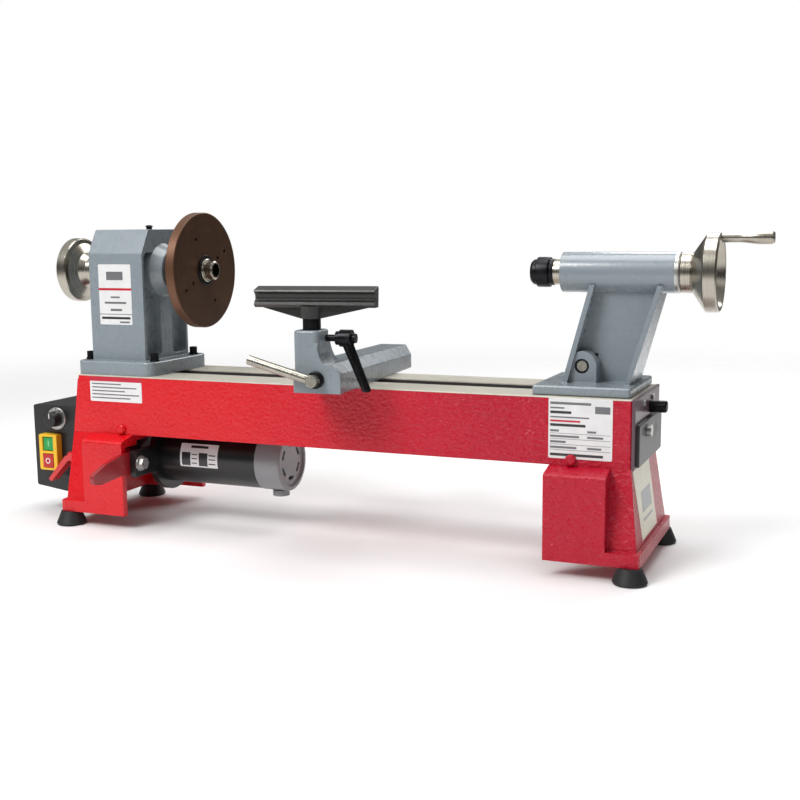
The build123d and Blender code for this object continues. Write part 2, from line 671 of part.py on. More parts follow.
with BuildPart() as control_box:
    with BuildSketch(facing_front(box_front)):
        Polygon((box_left, box_low_left), (box_right, box_low_right), (box_right, box_top),
                (box_left, box_top), align=None)
    extrude(amount=box_front - box_back)
    fillet(control_box.edges().filter_by(Axis.Y), 3)
    with BuildSketch(facing_front(box_front + box_wall)):
        Polygon((box_left + box_wall, box_low_left + box_wall), (box_right - box_wall, box_low_right + box_wall),
                (box_right - box_wall, box_top - box_wall), (box_left + box_wall, box_top - box_wall), align=None)
    extrude(amount=box_front - box_back - 1, mode=Mode.SUBTRACT)
    with Locations((knob_x, box_front, knob_z)):
        Cylinder(4.5, 12, rotation=(90, 0, 0), mode=Mode.SUBTRACT)
    with Locations((switch_x, box_front, switch_z)):
        Box(26, 12, 48, mode=Mode.SUBTRACT)
    # standoffs that carry the box on the leg
    for spacer_y, spacer_z in spacer_places:
        height_share = (spacer_z - plinth_top) / (bed_bottom - plinth_top)
        leg_face = leg_top_left - leg_end_lean * (1 - height_share)
        with BuildSketch(across(box_right, spacer_y, spacer_z)):
            Circle(5)
        extrude(amount=leg_face - box_right - 0.4)
control_box.part.label = "control_box"
export_step(control_box.part, "parts/control_box.step")

with BuildPart() as control_box_back:
    with BuildSketch(facing_back(box_back)):
        Polygon((-box_left, box_low_left), (-box_right, box_low_right), (-box_right, box_top),
                (-box_left, box_top), align=None)
    extrude(amount=2)
    fillet(control_box_back.edges().filter_by(Axis.Y), 2)
control_box_back.part.label = "control_box_back"
export_step(control_box_back.part, "parts/control_box_back.step")

with BuildPart() as dial_ring:
    with BuildSketch(facing_front(box_front, knob_x, knob_z)):
        Circle(15.5)
        Circle(5.5, mode=Mode.SUBTRACT)
    extrude(amount=2.0)
    fillet(dial_ring.faces().sort_by(Axis.Y)[0].edges().sort_by(SortBy.LENGTH)[-1:], 0.8)
dial_ring.part.label = "dial_ring"
export_step(dial_ring.part, "parts/dial_ring.step")

with BuildPart() as speed_knob:
    with BuildSketch(facing_front(box_front - 2.3, knob_x, knob_z)):
        Circle(11)
    extrude(amount=14, taper=5)
    fillet(speed_knob.faces().sort_by(Axis.Y)[0].edges(), 1.2)
    with Locations((knob_x, box_front - 2.3, knob_z)):
        Cylinder(4.4, 14, rotation=(90, 0, 0), align=(Align.CENTER, Align.CENTER, Align.MAX))
speed_knob.part.label = "speed_knob"
export_step(speed_knob.part, "parts/speed_knob.step")

button_travel = 2.5
button_half_x = 8.5
button_half_z = 9.3
start_z = switch_z + 11.6
stop_z = switch_z - 11.6
with BuildPart() as switch_housing:
    with BuildSketch(facing_front(box_front, switch_x, switch_z)):
        RectangleRounded(30, 50, 3)
    extrude(amount=11)
    fillet(switch_housing.faces().sort_by(Axis.Y)[0].edges(), 1)
    with BuildSketch(facing_front(box_front - 11, switch_x, switch_z)):
        Rectangle(2 * button_half_x + 1, 4 * button_half_z + 6)
    extrude(amount=-14, mode=Mode.SUBTRACT)
    with BuildSketch(facing_front(box_front - 11, switch_x, switch_z)):
        Rectangle(2 * button_half_x + 1, 3.4)
    extrude(amount=-9)
    with BuildSketch(facing_front(box_front + 0.5, switch_x, switch_z)):
        Rectangle(25, 47)
        Rectangle(22, 44, mode=Mode.SUBTRACT)
    extrude(amount=-22)
    with BuildSketch(facing_front(box_front + 22.5, switch_x, switch_z)):
        Rectangle(25, 47)
    extrude(amount=2)
    with BuildSketch(facing_front(box_front, switch_x, switch_z)):
        Rectangle(25, 47)
        Rectangle(22, 44, mode=Mode.SUBTRACT)
    extrude(amount=-1)
switch_housing.part.label = "switch_housing"
export_step(switch_housing.part, "parts/switch_housing.step")

for button_name, button_z, front_shift in (("start_button", start_z, 0.5), ("stop_button", stop_z, -2.0)):
    with BuildPart() as button:
        with BuildSketch(facing_front(box_front + 14, switch_x, button_z)):
            Rectangle(2 * button_half_x, 2 * button_half_z)
        extrude(amount=24 - front_shift)
        fillet(button.faces().sort_by(Axis.Y)[0].edges(), 1.0)
    button.part.label = button_name
    export_step(button.part, f"parts/{button_name}.step")

with BuildPart() as circuit_board:
    with BuildSketch(facing_front(box_back - 12, (box_left + box_right) / 2, 92)):
        Rectangle(62, 84)
    extrude(amount=1.6)
    for block_x, block_z, block_size in ((-15, 20, 18), (14, 14, 12), (-8, -22, 22)):
        with BuildSketch(facing_front(box_back - 13.6, (box_left + box_right) / 2 + block_x, 92 + block_z)):
            Rectangle(block_size, block_size)
        extrude(amount=10)
    for post_x, post_z in ((-26, 36), (26, 36), (-26, -36), (26, -36)):
        with BuildSketch(facing_front(box_back, (box_left + box_right) / 2 + post_x, 92 + post_z)):
            Circle(3)
        extrude(amount=12)
circuit_board.part.label = "circuit_board"
export_step(circuit_board.part, "parts/circuit_board.step")

gland_x = box_left + 24
with BuildPart() as cord_gland:
    with BuildSketch(facing_back(box_back + 2, gland_x, 62)):
        RegularPolygon(11, 6)
    extrude(amount=6)
    with BuildSketch(facing_back(box_back + 8, gland_x, 62)):
        Circle(9)
    extrude(amount=10, taper=6)
    with BuildSketch(facing_back(box_back + 2, gland_x, 62)):
        Circle(4)
    extrude(amount=16, mode=Mode.SUBTRACT)
cord_gland.part.label = "cord_gland"
export_step(cord_gland.part, "parts/cord_gland.step")

# --- lock lever on the outside of the left leg
lock_x = bed_left - 15.5
with BuildPart() as belt_lock_lever:
    with BuildSketch(across(lock_x - 12, lock_y, lock_z)):
        Circle(6)
    extrude(amount=14.5)
    with BuildSketch(across(lock_x, lock_y, lock_z)):
        Circle(lock_pin_radius)
    extrude(amount=bed_left + 10 - lock_x)
    with BuildSketch(facing_front(lock_y - 8, lock_x, lock_z)):
        Polygon((-1, 5), (-14, 1), (-43, -32), (-39, -36), (-9, -5), (-1, -5), align=None)
    extrude(amount=-16)
    fillet(belt_lock_lever.edges().filter_by(Axis.Y).group_by(Axis.Z)[0], 1.5)
belt_lock_lever.part.label = "belt_lock_lever"
export_step(belt_lock_lever.part, "parts/belt_lock_lever.step")

# ================================================================ tool rest
clamp_x = bed_left + 375.3
arm_front = -138.5
arm_back = 147.0
arm_half = 29.7
arm_cos = cos(radians(banjo_angle))
arm_sin = sin(radians(banjo_angle))
arm_x = (arm_cos, arm_sin, 0)
arm_y = (-arm_sin, arm_cos, 0)


def arm_point(u, v, z):
    """A point given across the arm (u), along the arm to the back (v) and by height."""
    return (clamp_x + u * arm_cos - v * arm_sin, u * arm_sin + v * arm_cos, z)


def arm_level(z, u=0.0, v=0.0):
    """A horizontal work plane turned with the arm."""
    return Plane(origin=arm_point(u, v, z), x_dir=arm_x, z_dir=(0, 0, 1))


def arm_section(v, u=0.0, z=0.0):
    """A work plane across the arm that faces the front, with local x across and local y up."""
    return Plane(origin=arm_point(u, v, z), x_dir=arm_x, z_dir=(arm_sin, -arm_cos, 0))


def arm_side(u, v=0.0, z=0.0):
    """A work plane along the arm that faces right, with local x along the arm and local y up."""
    return Plane(origin=arm_point(u, v, z), x_dir=arm_y, z_dir=arm_x)


arm_bottom = bed_top + running
tower_left = -28.0
tower_right = 3.5
tower_back = -101.0
tower_top = bed_top + 72
post_u = (tower_left + tower_right) / 2 + 1
post_v = -120.0
rod_height = bed_top + 16.0
rod_radius = 7.0
sweep_radius = 46.0


def arm_outline(side_height, top_height, shoulder):
    """Cross section of the arm: upright sides, sloping shoulders and a flat top."""
    return [(-arm_half, arm_bottom), (arm_half, arm_bottom), (arm_half, bed_top + side_height),
            (arm_half - shoulder, bed_top + top_height), (-arm_half + shoulder, bed_top + top_height),
            (-arm_half, bed_top + side_height)]


with BuildPart() as banjo:
    with BuildSketch(arm_section(arm_front)):
        Polygon(*arm_outline(23, 34, 12), align=None)
    with BuildSketch(arm_section(arm_back)):
        Polygon(*arm_outline(18, 30, 12), align=None)
    loft()
    upright = banjo.edges().filter_by(Axis.Z)
    chamfer(upright.group_by(Axis.Y)[-1] + upright.group_by(Axis.Y)[-2], 13)
    front_upright = banjo.edges().filter_by(Axis.Z).group_by(Axis.Y)
    fillet(front_upright[0], 5)
    # tower for the post, with its foot swept into the arm
    with BuildSketch(arm_level(bed_top + 20)):
        with Locations(((tower_left + tower_right) / 2, (arm_front + tower_back) / 2)):
            RectangleRounded(tower_right - tower_left, tower_back - arm_front, 7)
    extrude(amount=tower_top - bed_top - 20)
    fillet(banjo.faces().sort_by(Axis.Z)[-1].edges(), 2.5)
    with BuildSketch(arm_section(arm_front)):
        with BuildLine():
            Polyline((tower_right - 6, bed_top + 12), (tower_right - 6, tower_top - 14),
                     (tower_right - 1, tower_top - 14))
            ThreePointArc((tower_right - 1, tower_top - 14), (tower_right + 5, bed_top + 35),
                          (arm_half - 1, bed_top + 22))
            Polyline((arm_half - 1, bed_top + 22), (arm_half - 1, bed_top + 12), (tower_right - 6, bed_top + 12))
        make_face()
    extrude(amount=arm_front - tower_back)
    with BuildSketch(arm_side(tower_left)):
        with BuildLine():
            Polyline((tower_back - 6, bed_top + 12), (tower_back - 6, tower_top - 12),
                     (tower_back - 1, tower_top - 12))
            ThreePointArc((tower_back - 1, tower_top - 12), (tower_back + 16, bed_top + 38),
                          (tower_back + 44, bed_top + 30))
            Polyline((tower_back + 44, bed_top + 30), (tower_back + 44, bed_top + 12), (tower_back - 6, bed_top + 12))
        make_face()
    extrude(amount=tower_right - tower_left)
    # hollow for the eye bolt and the cam rod
    with BuildSketch(arm_level(bed_top - 1)):
        with Locations((0, 12)):
            RectangleRounded(34, 196, 8)
    extrude(amount=28.5, mode=Mode.SUBTRACT)
    # rod way
    with BuildSketch(arm_section(arm_front - 1, 0, rod_height)):
        Circle(rod_radius + fit)
    extrude(amount=arm_front - arm_back + 16, mode=Mode.SUBTRACT)
    # post bore
    with BuildSketch(arm_level(bed_top + 24, post_u, post_v)):
        Circle(post_diameter / 2 + fit)
    extrude(amount=80, mode=Mode.SUBTRACT)
    # threaded way for the post lever
    with BuildSketch(arm_side(tower_right - 5, post_v + 8, tower_top - 10)):
        Circle(4.2)
    extrude(amount=16, mode=Mode.SUBTRACT)
banjo.part.label = "banjo"
export_step(banjo.part, "parts/banjo.step")

with BuildPart() as cam_collar:
    with BuildSketch(arm_section(arm_front, 0, rod_height)):
        Circle(10)
        Circle(rod_radius + 0.4, mode=Mode.SUBTRACT)
    extrude(amount=5)
    fillet(cam_collar.edges().filter_by(GeomType.CIRCLE).sort_by(Axis.Y)[:2].sort_by(SortBy.LENGTH)[-1:], 1.5)
cam_collar.part.label = "cam_collar"
export_step(cam_collar.part, "parts/cam_collar.step")

cam_throw = 1.5
handle_tilt = 16.0
handle_reach = 82.0
handle_v = arm_front - 11.3
tilt_cos = cos(radians(handle_tilt))
tilt_sin = sin(radians(handle_tilt))
handle_dir = (-arm_cos * tilt_cos, -arm_sin * tilt_cos, tilt_sin)
with BuildPart() as cam_rod:
    with BuildSketch(arm_section(arm_front - 17, 0, rod_height)):
        Circle(rod_radius)
    extrude(amount=-(17 - arm_front - 52))
    with BuildSketch(arm_section(-52, 0, rod_height - cam_throw)):
        Circle(rod_radius - cam_throw - 0.4)
    extrude(amount=-104)
    with BuildSketch(arm_section(52, 0, rod_height)):
        Circle(rod_radius)
    extrude(amount=-(arm_back - 52 - 18))
    with BuildSketch(Plane(origin=arm_point(rod_radius * tilt_cos, handle_v, rod_height - rod_radius * tilt_sin),
                           z_dir=handle_dir)):
        Circle(4.4 + fit)
    extrude(amount=22, both=True, mode=Mode.SUBTRACT)
cam_rod.part.label = "cam_rod"
export_step(cam_rod.part, "parts/cam_rod.step")

with BuildPart() as cam_handle:
    with BuildSketch(Plane(origin=arm_point(rod_radius * tilt_cos, handle_v, rod_height - rod_radius * tilt_sin),
                           z_dir=handle_dir)):
        Circle(4.4)
    extrude(amount=22)
    with BuildSketch(Plane(origin=arm_point(-8.6 * tilt_cos, handle_v, rod_height + 8.6 * tilt_sin),
                           z_dir=handle_dir)):
        Circle(6)
    extrude(amount=handle_reach - 8.6)
    chamfer(cam_handle.edges().filter_by(GeomType.CIRCLE).sort_by(Axis.X)[:1], 1.2)
cam_handle.part.label = "cam_handle"
export_step(cam_handle.part, "parts/cam_handle.step")

with BuildPart() as banjo_eye_bolt:
    with BuildSketch(arm_section(9, 0, rod_height)):
        Circle(10.5)
        Circle(rod_radius + fit, mode=Mode.SUBTRACT)
    extrude(amount=18)
    with BuildSketch(Plane.XY.offset(rod_height - 9)):
        with Locations((clamp_x, 0)):
            Circle(6)
    extrude(amount=-(rod_height - 9 - shear_under + 28))
    with BuildSketch(Plane.XY.offset(shear_under - 11)):
        with Locations((clamp_x, 0)):
            RegularPolygon(11, 6)
    extrude(amount=-9)
    with BuildSketch(arm_section(10, 0, rod_height)):
        Circle(rod_radius + fit)
    extrude(amount=20, mode=Mode.SUBTRACT)
banjo_eye_bolt.part.label = "banjo_eye_bolt"
export_step(banjo_eye_bolt.part, "parts/banjo_eye_bolt.step")

clamp_plate_top = shear_under - running
with BuildPart() as banjo_clamp_plate:
    with BuildSketch(Plane.XY.offset(clamp_plate_top)):
        with Locations((clamp_x, 0)):
            RectangleRounded(48, 64, 5)
            Circle(6 + fit, mode=Mode.SUBTRACT)
    extrude(amount=-10)
    with BuildSketch(Plane.XY.offset(clamp_plate_top)):
        with Locations((clamp_x, 0)):
            Rectangle(40, 2 * slot_half - 2 * running)
            Circle(6 + fit, mode=Mode.SUBTRACT)
    extrude(amount=10)
banjo_clamp_plate.part.label = "banjo_clamp_plate"
export_step(banjo_clamp_plate.part, "parts/banjo_clamp_plate.step")

# --- post and bar, built about the post's centre line
post_x, post_y, _ = arm_point(post_u, post_v, 0)
rest_x = (cos(radians(rest_angle)), sin(radians(rest_angle)), 0)
rest_y = (-sin(radians(rest_angle)), cos(radians(rest_angle)), 0)
rest_root = bed_top + 85
rest_high = bed_top + 122


def rest_level(z):
    """A horizontal work plane turned with the bar, centred on the post."""
    return Plane(origin=(post_x, post_y, z), x_dir=rest_x, z_dir=(0, 0, 1))


def rest_section(u):
    """A work plane across the bar that faces its right end, with local x to the back and local y up."""
    origin = (post_x + u * rest_x[0], post_y + u * rest_x[1], 0)
    return Plane(origin=origin, x_dir=rest_y, z_dir=rest_x)


with BuildPart() as tool_rest_post:
    with BuildSketch(rest_level(bed_top + 35)):
        Circle(post_diameter / 2)
    extrude(amount=rest_root - bed_top - 35)
    chamfer(tool_rest_post.faces().sort_by(Axis.Z)[0].edges(), 1)
tool_rest_post.part.label = "tool_rest_post"
export_step(tool_rest_post.part, "parts/tool_rest_post.step")

with BuildPart() as tool_rest_bar:
    with BuildSketch(rest_section(rest_shift - rest_length / 2)):
        with BuildLine():
            Polyline((4, rest_high - 24), (-9, rest_high - 24), (-12, rest_high - 21), (-11, rest_high - 18),
                     (-7, rest_high - 15))
            ThreePointArc((-7, rest_high - 15), (-7.6, rest_high - 10), (-12, rest_high - 6))
            Polyline((-12, rest_high - 6), (-11, rest_high - 4), (4, rest_high), (6, rest_high - 2), (4, rest_high - 24))
        make_face()
    extrude(amount=rest_length)
    # the web underneath that carries the bar
    with BuildSketch(Plane(origin=(post_x + 1.5 * rest_y[0], post_y + 1.5 * rest_y[1], 0),
                           x_dir=rest_x, z_dir=(-rest_y[0], -rest_y[1], 0))):
        Polygon((rest_shift - rest_length / 2 + 3, rest_high - 23), (-12, rest_root + fit), (12, rest_root + fit),
                (rest_shift + rest_length / 2 - 3, rest_high - 23), align=None)
    extrude(amount=6, both=True)
    with BuildSketch(rest_level(rest_root + fit)):
        Circle(post_diameter / 2 + 2)
    extrude(amount=14, taper=-8)
tool_rest_bar.part.label = "tool_rest_bar"
export_step(tool_rest_bar.part, "parts/tool_rest_bar.step")

# --- ratchet lever that locks the post
lever_z = tower_top - 10
lever_v = post_v + 8
hub_start = tower_right + 10
lever_spread = 25.0
lever_drop = 62.0
with BuildPart() as post_lever:
    with BuildSketch(arm_side(tower_right - 4, lever_v, lever_z)):
        Circle(4)
    extrude(amount=hub_start + 3 - tower_right + 4)
    with BuildSketch(arm_side(hub_start + 2.5, lever_v, lever_z)):
        Circle(8)
    extrude(amount=5)
    with BuildSketch(arm_side(hub_start + 7.5, lever_v, lever_z)):
        Circle(10)
    extrude(amount=14)
    with BuildSketch(arm_side(hub_start + 21.5, lever_v, lever_z)):
        Circle(5.5)
    extrude(amount=5)
    with BuildSketch(Plane(origin=arm_point(hub_start + 14, lever_v, lever_z - 2), x_dir=arm_y, z_dir=(0, 0, -1))):
        Circle(7)
    with BuildSketch(Plane(origin=arm_point(hub_start + 14 + lever_spread, lever_v, lever_z - lever_drop),
                           x_dir=arm_y, z_dir=(0, 0, -1))):
        Circle(5.5)
    loft()
    fillet(post_lever.faces().sort_by(Axis.Z)[0].edges(), 2.5)
post_lever.part.label = "post_lever"
export_step(post_lever.part, "parts/post_lever.step")

# ================================================================ tailstock
tail_left = bed_left + 621
tail_right = bed_left + 732
tail_half = 64.0
tail_base_height = 11.0
barrel_left = bed_left + 640
barrel_right = bed_left + 768.5
ring_right = barrel_right + 5.5
barrel_radius = barrel_diameter / 2
tail_bottom = bed_top + running
tail_base_top = bed_top + tail_base_height
web_left_low = bed_left + 647
web_left_high = bed_left + 675
web_right_low = bed_left + 724
web_right_high = bed_left + 757
web_join = spindle_height - 14
flange_width_low = 35.0
flange_width_high = 22.0
cam_x = bed_left + 669
cam_z = bed_top + 30
quill_radius = quill_diameter / 2


with BuildPart() as tailstock:
    with BuildSketch(Plane.XY.offset(tail_bottom)):
        with Locations(((tail_left + tail_right) / 2, 0)):
            Rectangle(tail_right - tail_left, 2 * tail_half)
    extrude(amount=tail_base_top - tail_bottom)
    fillet(tailstock.edges().filter_by(Axis.Z), 3)
    chamfer(tailstock.faces().sort_by(Axis.Z)[-1].edges(), 1.5)
    # leaning flanges, wider at the foot than under the barrel
    for x_low, x_high in ((web_left_low, web_left_high), (web_right_low - 6, web_right_high - 6)):
        with BuildSketch(Plane.XY.offset(tail_base_top - 3)):
            with Locations((x_low + 3, 0)):
                Rectangle(6, 2 * flange_width_low)
        with BuildSketch(Plane.XY.offset(web_join)):
            with Locations((x_high + 3, 0)):
                Rectangle(6, 2 * flange_width_high)
        loft()
    with BuildSketch(facing_front(0)):
        Polygon((web_left_low + 3, tail_base_top - 3), (web_right_low - 3, tail_base_top - 3),
                (web_right_high - 3, web_join), (web_left_high + 3, web_join), align=None)
    extrude(amount=7, both=True)
    # boss round the clamp shaft
    with BuildSketch(facing_front(0)):
        with BuildLine():
            Polyline((cam_x + 17, cam_z), (cam_x + 17, tail_base_top - 2), (web_left_low + 2, tail_base_top - 2),
                     (web_left_low + 8, cam_z + 8), (cam_x - 12, cam_z + 14), (cam_x, cam_z + 17))
            ThreePointArc((cam_x, cam_z + 17), (cam_x + 12, cam_z + 12), (cam_x + 17, cam_z))
        make_face()
    extrude(amount=28, both=True)
    # barrel
    with BuildSketch(across(barrel_left, 0, spindle_height)):
        Circle(barrel_radius)
    extrude(amount=barrel_right - barrel_left)
    fillet(tailstock.faces().sort_by(Axis.X)[0].edges(), 2)
    with BuildSketch(across(barrel_left - 1, 0, spindle_height)):
        Circle(quill_radius + fit)
    extrude(amount=barrel_right - barrel_left + 2, mode=Mode.SUBTRACT)
    # cross way for the clamp shaft and room for the clamp bolt
    with BuildSketch(facing_front(40, cam_x, cam_z)):
        Circle(7 + fit)
    extrude(amount=80, mode=Mode.SUBTRACT)
    with BuildSketch(Plane.XY.offset(bed_top - 1)):
        with Locations((cam_x, 0)):
            Rectangle(28, 26)
    extrude(amount=cam_z - bed_top + 14, mode=Mode.SUBTRACT)
    # quill lock way at the back
    with BuildSketch(facing_back(0, barrel_left + 30, spindle_height)):
        Circle(4.2)
    extrude(amount=40, mode=Mode.SUBTRACT)
tailstock.part.label = "tailstock"
export_step(tailstock.part, "parts/tailstock.step")

with BuildPart() as barrel_ring:
    with BuildSketch(spindle_plane):
        Polygon((barrel_right, 10), (ring_right, 10), (ring_right, barrel_radius - 1.5),
                (ring_right - 1.5, barrel_radius), (barrel_right, barrel_radius), align=None)
    revolve(axis=spindle_axis)
barrel_ring.part.label = "barrel_ring"
export_step(barrel_ring.part, "parts/barrel_ring.step")

quill_left = bed_left + 622
quill_right = barrel_left + quill_travel + 58
feed_screw_radius = 8.0
with BuildPart() as quill:
    with BuildSketch(spindle_plane):
        Polygon((quill_left, 9.2), (quill_left + 55, 7.0), (quill_left + 55, feed_screw_radius + fit),
                (quill_right, feed_screw_radius + fit), (quill_right, quill_radius - 0.5),
                (quill_right - 0.5, quill_radius), (barrel_left - 10, quill_radius),
                (barrel_left - 10, quill_radius - 1), (quill_left, quill_radius - 1), align=None)
    revolve(axis=spindle_axis)
    # keyway underneath
    with Locations(((barrel_left + quill_right) / 2, 0, spindle_height - quill_radius)):
        Box(quill_right - barrel_left + 18, 4, 3, mode=Mode.SUBTRACT)
quill.part.label = "quill"
export_step(quill.part, "parts/quill.step")

nut_left = bed_left + 602.5
nut_right = barrel_left - 10
with BuildPart() as quill_cap:
    with BuildSketch(spindle_plane):
        Polygon((nut_left, 9.4), (nut_left, 12), (nut_left + 3, 15), (nut_left + 7.5, 16), (nut_left + 8, 17.5),
                (nut_right - 1, 17.5), (nut_right, 16.5), (nut_right, quill_radius - 1 + fit),
                (quill_left, quill_radius - 1 + fit), (quill_left, 9.4), align=None)
    revolve(axis=spindle_axis)
quill_cap.part.label = "quill_cap"
export_step(quill_cap.part, "parts/quill_cap.step")

hub_left = ring_right + running
rim_left = bed_left + 800
rim_right = bed_left + 816
rim_radius = handwheel_diameter / 2
wheel_bore = 6.0
with BuildPart() as feed_screw:
    with BuildSketch(spindle_plane):
        Polygon((quill_left + 58, 0), (rim_left + 3, 0), (rim_left + 3, wheel_bore), (hub_left, wheel_bore),
                (hub_left, 9.8), (barrel_right + 0.2, 9.8), (barrel_right - 1, feed_screw_radius),
                (quill_left + 58, feed_screw_radius), align=None)
    revolve(axis=spindle_axis)
feed_screw.part.label = "feed_screw"
export_step(feed_screw.part, "parts/feed_screw.step")

with BuildPart() as tailstock_handwheel:
    with BuildSketch(spindle_plane):
        Polygon((hub_left, wheel_bore + fit), (rim_left - 2, wheel_bore + fit), (rim_left - 2, 20),
                (rim_left + 4, rim_radius - 12), (rim_right - 2, rim_radius - 7), (rim_right, rim_radius - 6),
                (rim_right, rim_radius - 1.5), (rim_right - 1.5, rim_radius), (rim_left + 2, rim_radius),
                (rim_left, rim_radius - 2), (hub_left + 12, 21.5), (hub_left + 11, 22.5), (hub_left + 1, 22.5),
                (hub_left, 21.5), align=None)
    revolve(axis=spindle_axis)
    crank_z = spindle_height + rim_radius - 5.5
    with BuildSketch(across(rim_right + 1, 0, crank_z)):
        Circle(3 + fit)
    extrude(amount=-12, mode=Mode.SUBTRACT)
tailstock_handwheel.part.label = "tailstock_handwheel"
export_step(tailstock_handwheel.part, "parts/tailstock_handwheel.step")

crank_right = bed_left + 871
with BuildPart() as crank_handle:
    with BuildSketch(Plane(origin=(0, 0, crank_z), x_dir=(1, 0, 0), z_dir=(0, -1, 0))):
        with BuildLine():
            Polyline((rim_right - 9, 0), (rim_right - 9, 3), (rim_right + running, 3), (rim_right + running, 5.2),
                     (rim_right + 18, 5.2))
            Spline((rim_right + 18, 5.2), (rim_right + 32, 6.6), (rim_right + 44, 7.3), tangents=[(1, 0), (1, 0)])
            Polyline((rim_right + 44, 7.3), (crank_right - 2, 7.0), (crank_right, 5.5), (crank_right, 0),
                     (rim_right - 9, 0))
        make_face()
    revolve(axis=Axis((0, 0, crank_z), (1, 0, 0)))
crank_handle.part.label = "crank_handle"
export_step(crank_handle.part, "parts/crank_handle.step")

with BuildPart() as tailstock_clamp_lever:
    with BuildSketch(facing_front(46, cam_x, cam_z)):
        Circle(7)
    extrude(amount=46 + 27)
    chamfer(tailstock_clamp_lever.faces().sort_by(Axis.Y)[0].edges(), 1)
    with BuildSketch(facing_back(44, cam_x, cam_z)):
        Circle(11)
    extrude(amount=16)
    with BuildSketch(Plane(origin=(cam_x, 52, cam_z), z_dir=(-0.1, 0.97, 0.2))):
        Circle(5.5)
    extrude(amount=115)
    fillet(tailstock_clamp_lever.faces().sort_by(Axis.Y)[-1].edges(), 2)
tailstock_clamp_lever.part.label = "tailstock_clamp_lever"
export_step(tailstock_clamp_lever.part, "parts/tailstock_clamp_lever.step")

with BuildPart() as tailstock_clamp_bolt:
    with BuildSketch(facing_front(9, cam_x, cam_z)):
        Circle(12)
        Circle(7 + fit, mode=Mode.SUBTRACT)
    extrude(amount=18)
    with BuildSketch(Plane.XY.offset(cam_z - 9)):
        with Locations((cam_x, 0)):
            Circle(6)
    extrude(amount=-(cam_z - 9 - shear_under + 28))
    with BuildSketch(Plane.XY.offset(shear_under - 11)):
        with Locations((cam_x, 0)):
            RegularPolygon(11, 6)
    extrude(amount=-9)
    with BuildSketch(facing_front(10, cam_x, cam_z)):
        Circle(7 + fit)
    extrude(amount=20, mode=Mode.SUBTRACT)
tailstock_clamp_bolt.part.label = "tailstock_clamp_bolt"
export_step(tailstock_clamp_bolt.part, "parts/tailstock_clamp_bolt.step")

with BuildPart() as tailstock_clamp_plate:
    with BuildSketch(Plane.XY.offset(clamp_plate_top)):
        with Locations((cam_x, 0)):
            RectangleRounded(48, 64, 5)
            Circle(6 + fit, mode=Mode.SUBTRACT)
    extrude(amount=-10)
    with BuildSketch(Plane.XY.offset(clamp_plate_top)):
        with Locations((cam_x, 0)):
            Rectangle(40, 2 * slot_half - 2 * running)
            Circle(6 + fit, mode=Mode.SUBTRACT)
    extrude(amount=10)
tailstock_clamp_plate.part.label = "tailstock_clamp_plate"
export_step(tailstock_clamp_plate.part, "parts/tailstock_clamp_plate.step")

lock_screw_x = barrel_left + 30
with BuildPart() as quill_lock_lever:
    with BuildSketch(facing_back(quill_radius + 0.4, lock_screw_x, spindle_height)):
        Circle(4)
    extrude(amount=barrel_radius - quill_radius + 5)
    with BuildSketch(facing_back(barrel_radius + 3, lock_screw_x, spindle_height)):
        Circle(8)
    extrude(amount=14)
    with BuildSketch(Plane(origin=(lock_screw_x + 4, barrel_radius + 11, spindle_height), z_dir=(1, 0.3, 0))):
        Circle(4.5)
    extrude(amount=46)
    fillet(quill_lock_lever.faces().sort_by(Axis.X)[-1].edges(), 2)
quill_lock_lever.part.label = "quill_lock_lever"
export_step(quill_lock_lever.part, "parts/quill_lock_lever.step")
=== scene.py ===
"""Finishes and detail pieces for a bench wood lathe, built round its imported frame.

Everything is in metres in the frame's own axes: +X runs along the spindle from the headstock
to the tailstock, +Y points to the back and +Z is up, with the floor at zero.
"""
import json
from math import cos, pi, radians, sin, tan

import bpy
from mathutils import Matrix, Vector

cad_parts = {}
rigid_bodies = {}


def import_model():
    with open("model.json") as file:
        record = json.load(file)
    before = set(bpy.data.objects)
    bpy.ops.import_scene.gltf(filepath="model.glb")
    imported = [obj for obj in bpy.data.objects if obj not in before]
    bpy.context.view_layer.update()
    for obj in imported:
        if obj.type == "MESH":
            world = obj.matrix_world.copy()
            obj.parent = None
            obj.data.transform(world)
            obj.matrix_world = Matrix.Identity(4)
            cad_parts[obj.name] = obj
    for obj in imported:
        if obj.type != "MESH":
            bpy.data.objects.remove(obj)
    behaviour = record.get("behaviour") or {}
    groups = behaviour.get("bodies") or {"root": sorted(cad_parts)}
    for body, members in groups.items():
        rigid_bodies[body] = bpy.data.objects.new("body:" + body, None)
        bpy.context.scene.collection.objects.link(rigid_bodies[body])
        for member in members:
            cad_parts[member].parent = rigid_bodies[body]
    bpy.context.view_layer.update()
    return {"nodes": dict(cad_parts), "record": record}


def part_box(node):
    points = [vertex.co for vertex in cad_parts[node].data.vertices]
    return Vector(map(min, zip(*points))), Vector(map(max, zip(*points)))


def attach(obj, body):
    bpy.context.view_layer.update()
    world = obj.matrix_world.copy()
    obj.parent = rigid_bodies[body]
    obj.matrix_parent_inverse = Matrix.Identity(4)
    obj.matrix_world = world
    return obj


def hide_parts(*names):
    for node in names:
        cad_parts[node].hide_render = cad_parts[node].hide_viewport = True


bl_info = {
    "name": "Wood Lathe",
    "version": (1, 0, 0),
    "blender": (4, 5, 0),
    "location": "View3D > Sidebar > Wood Lathe",
    "description": "Finishes, blank labels, clamp handle, small trim and stage for a bench wood lathe",
    "category": "Object",
}

for leftover in list(bpy.data.objects):
    bpy.data.objects.remove(leftover)

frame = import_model()

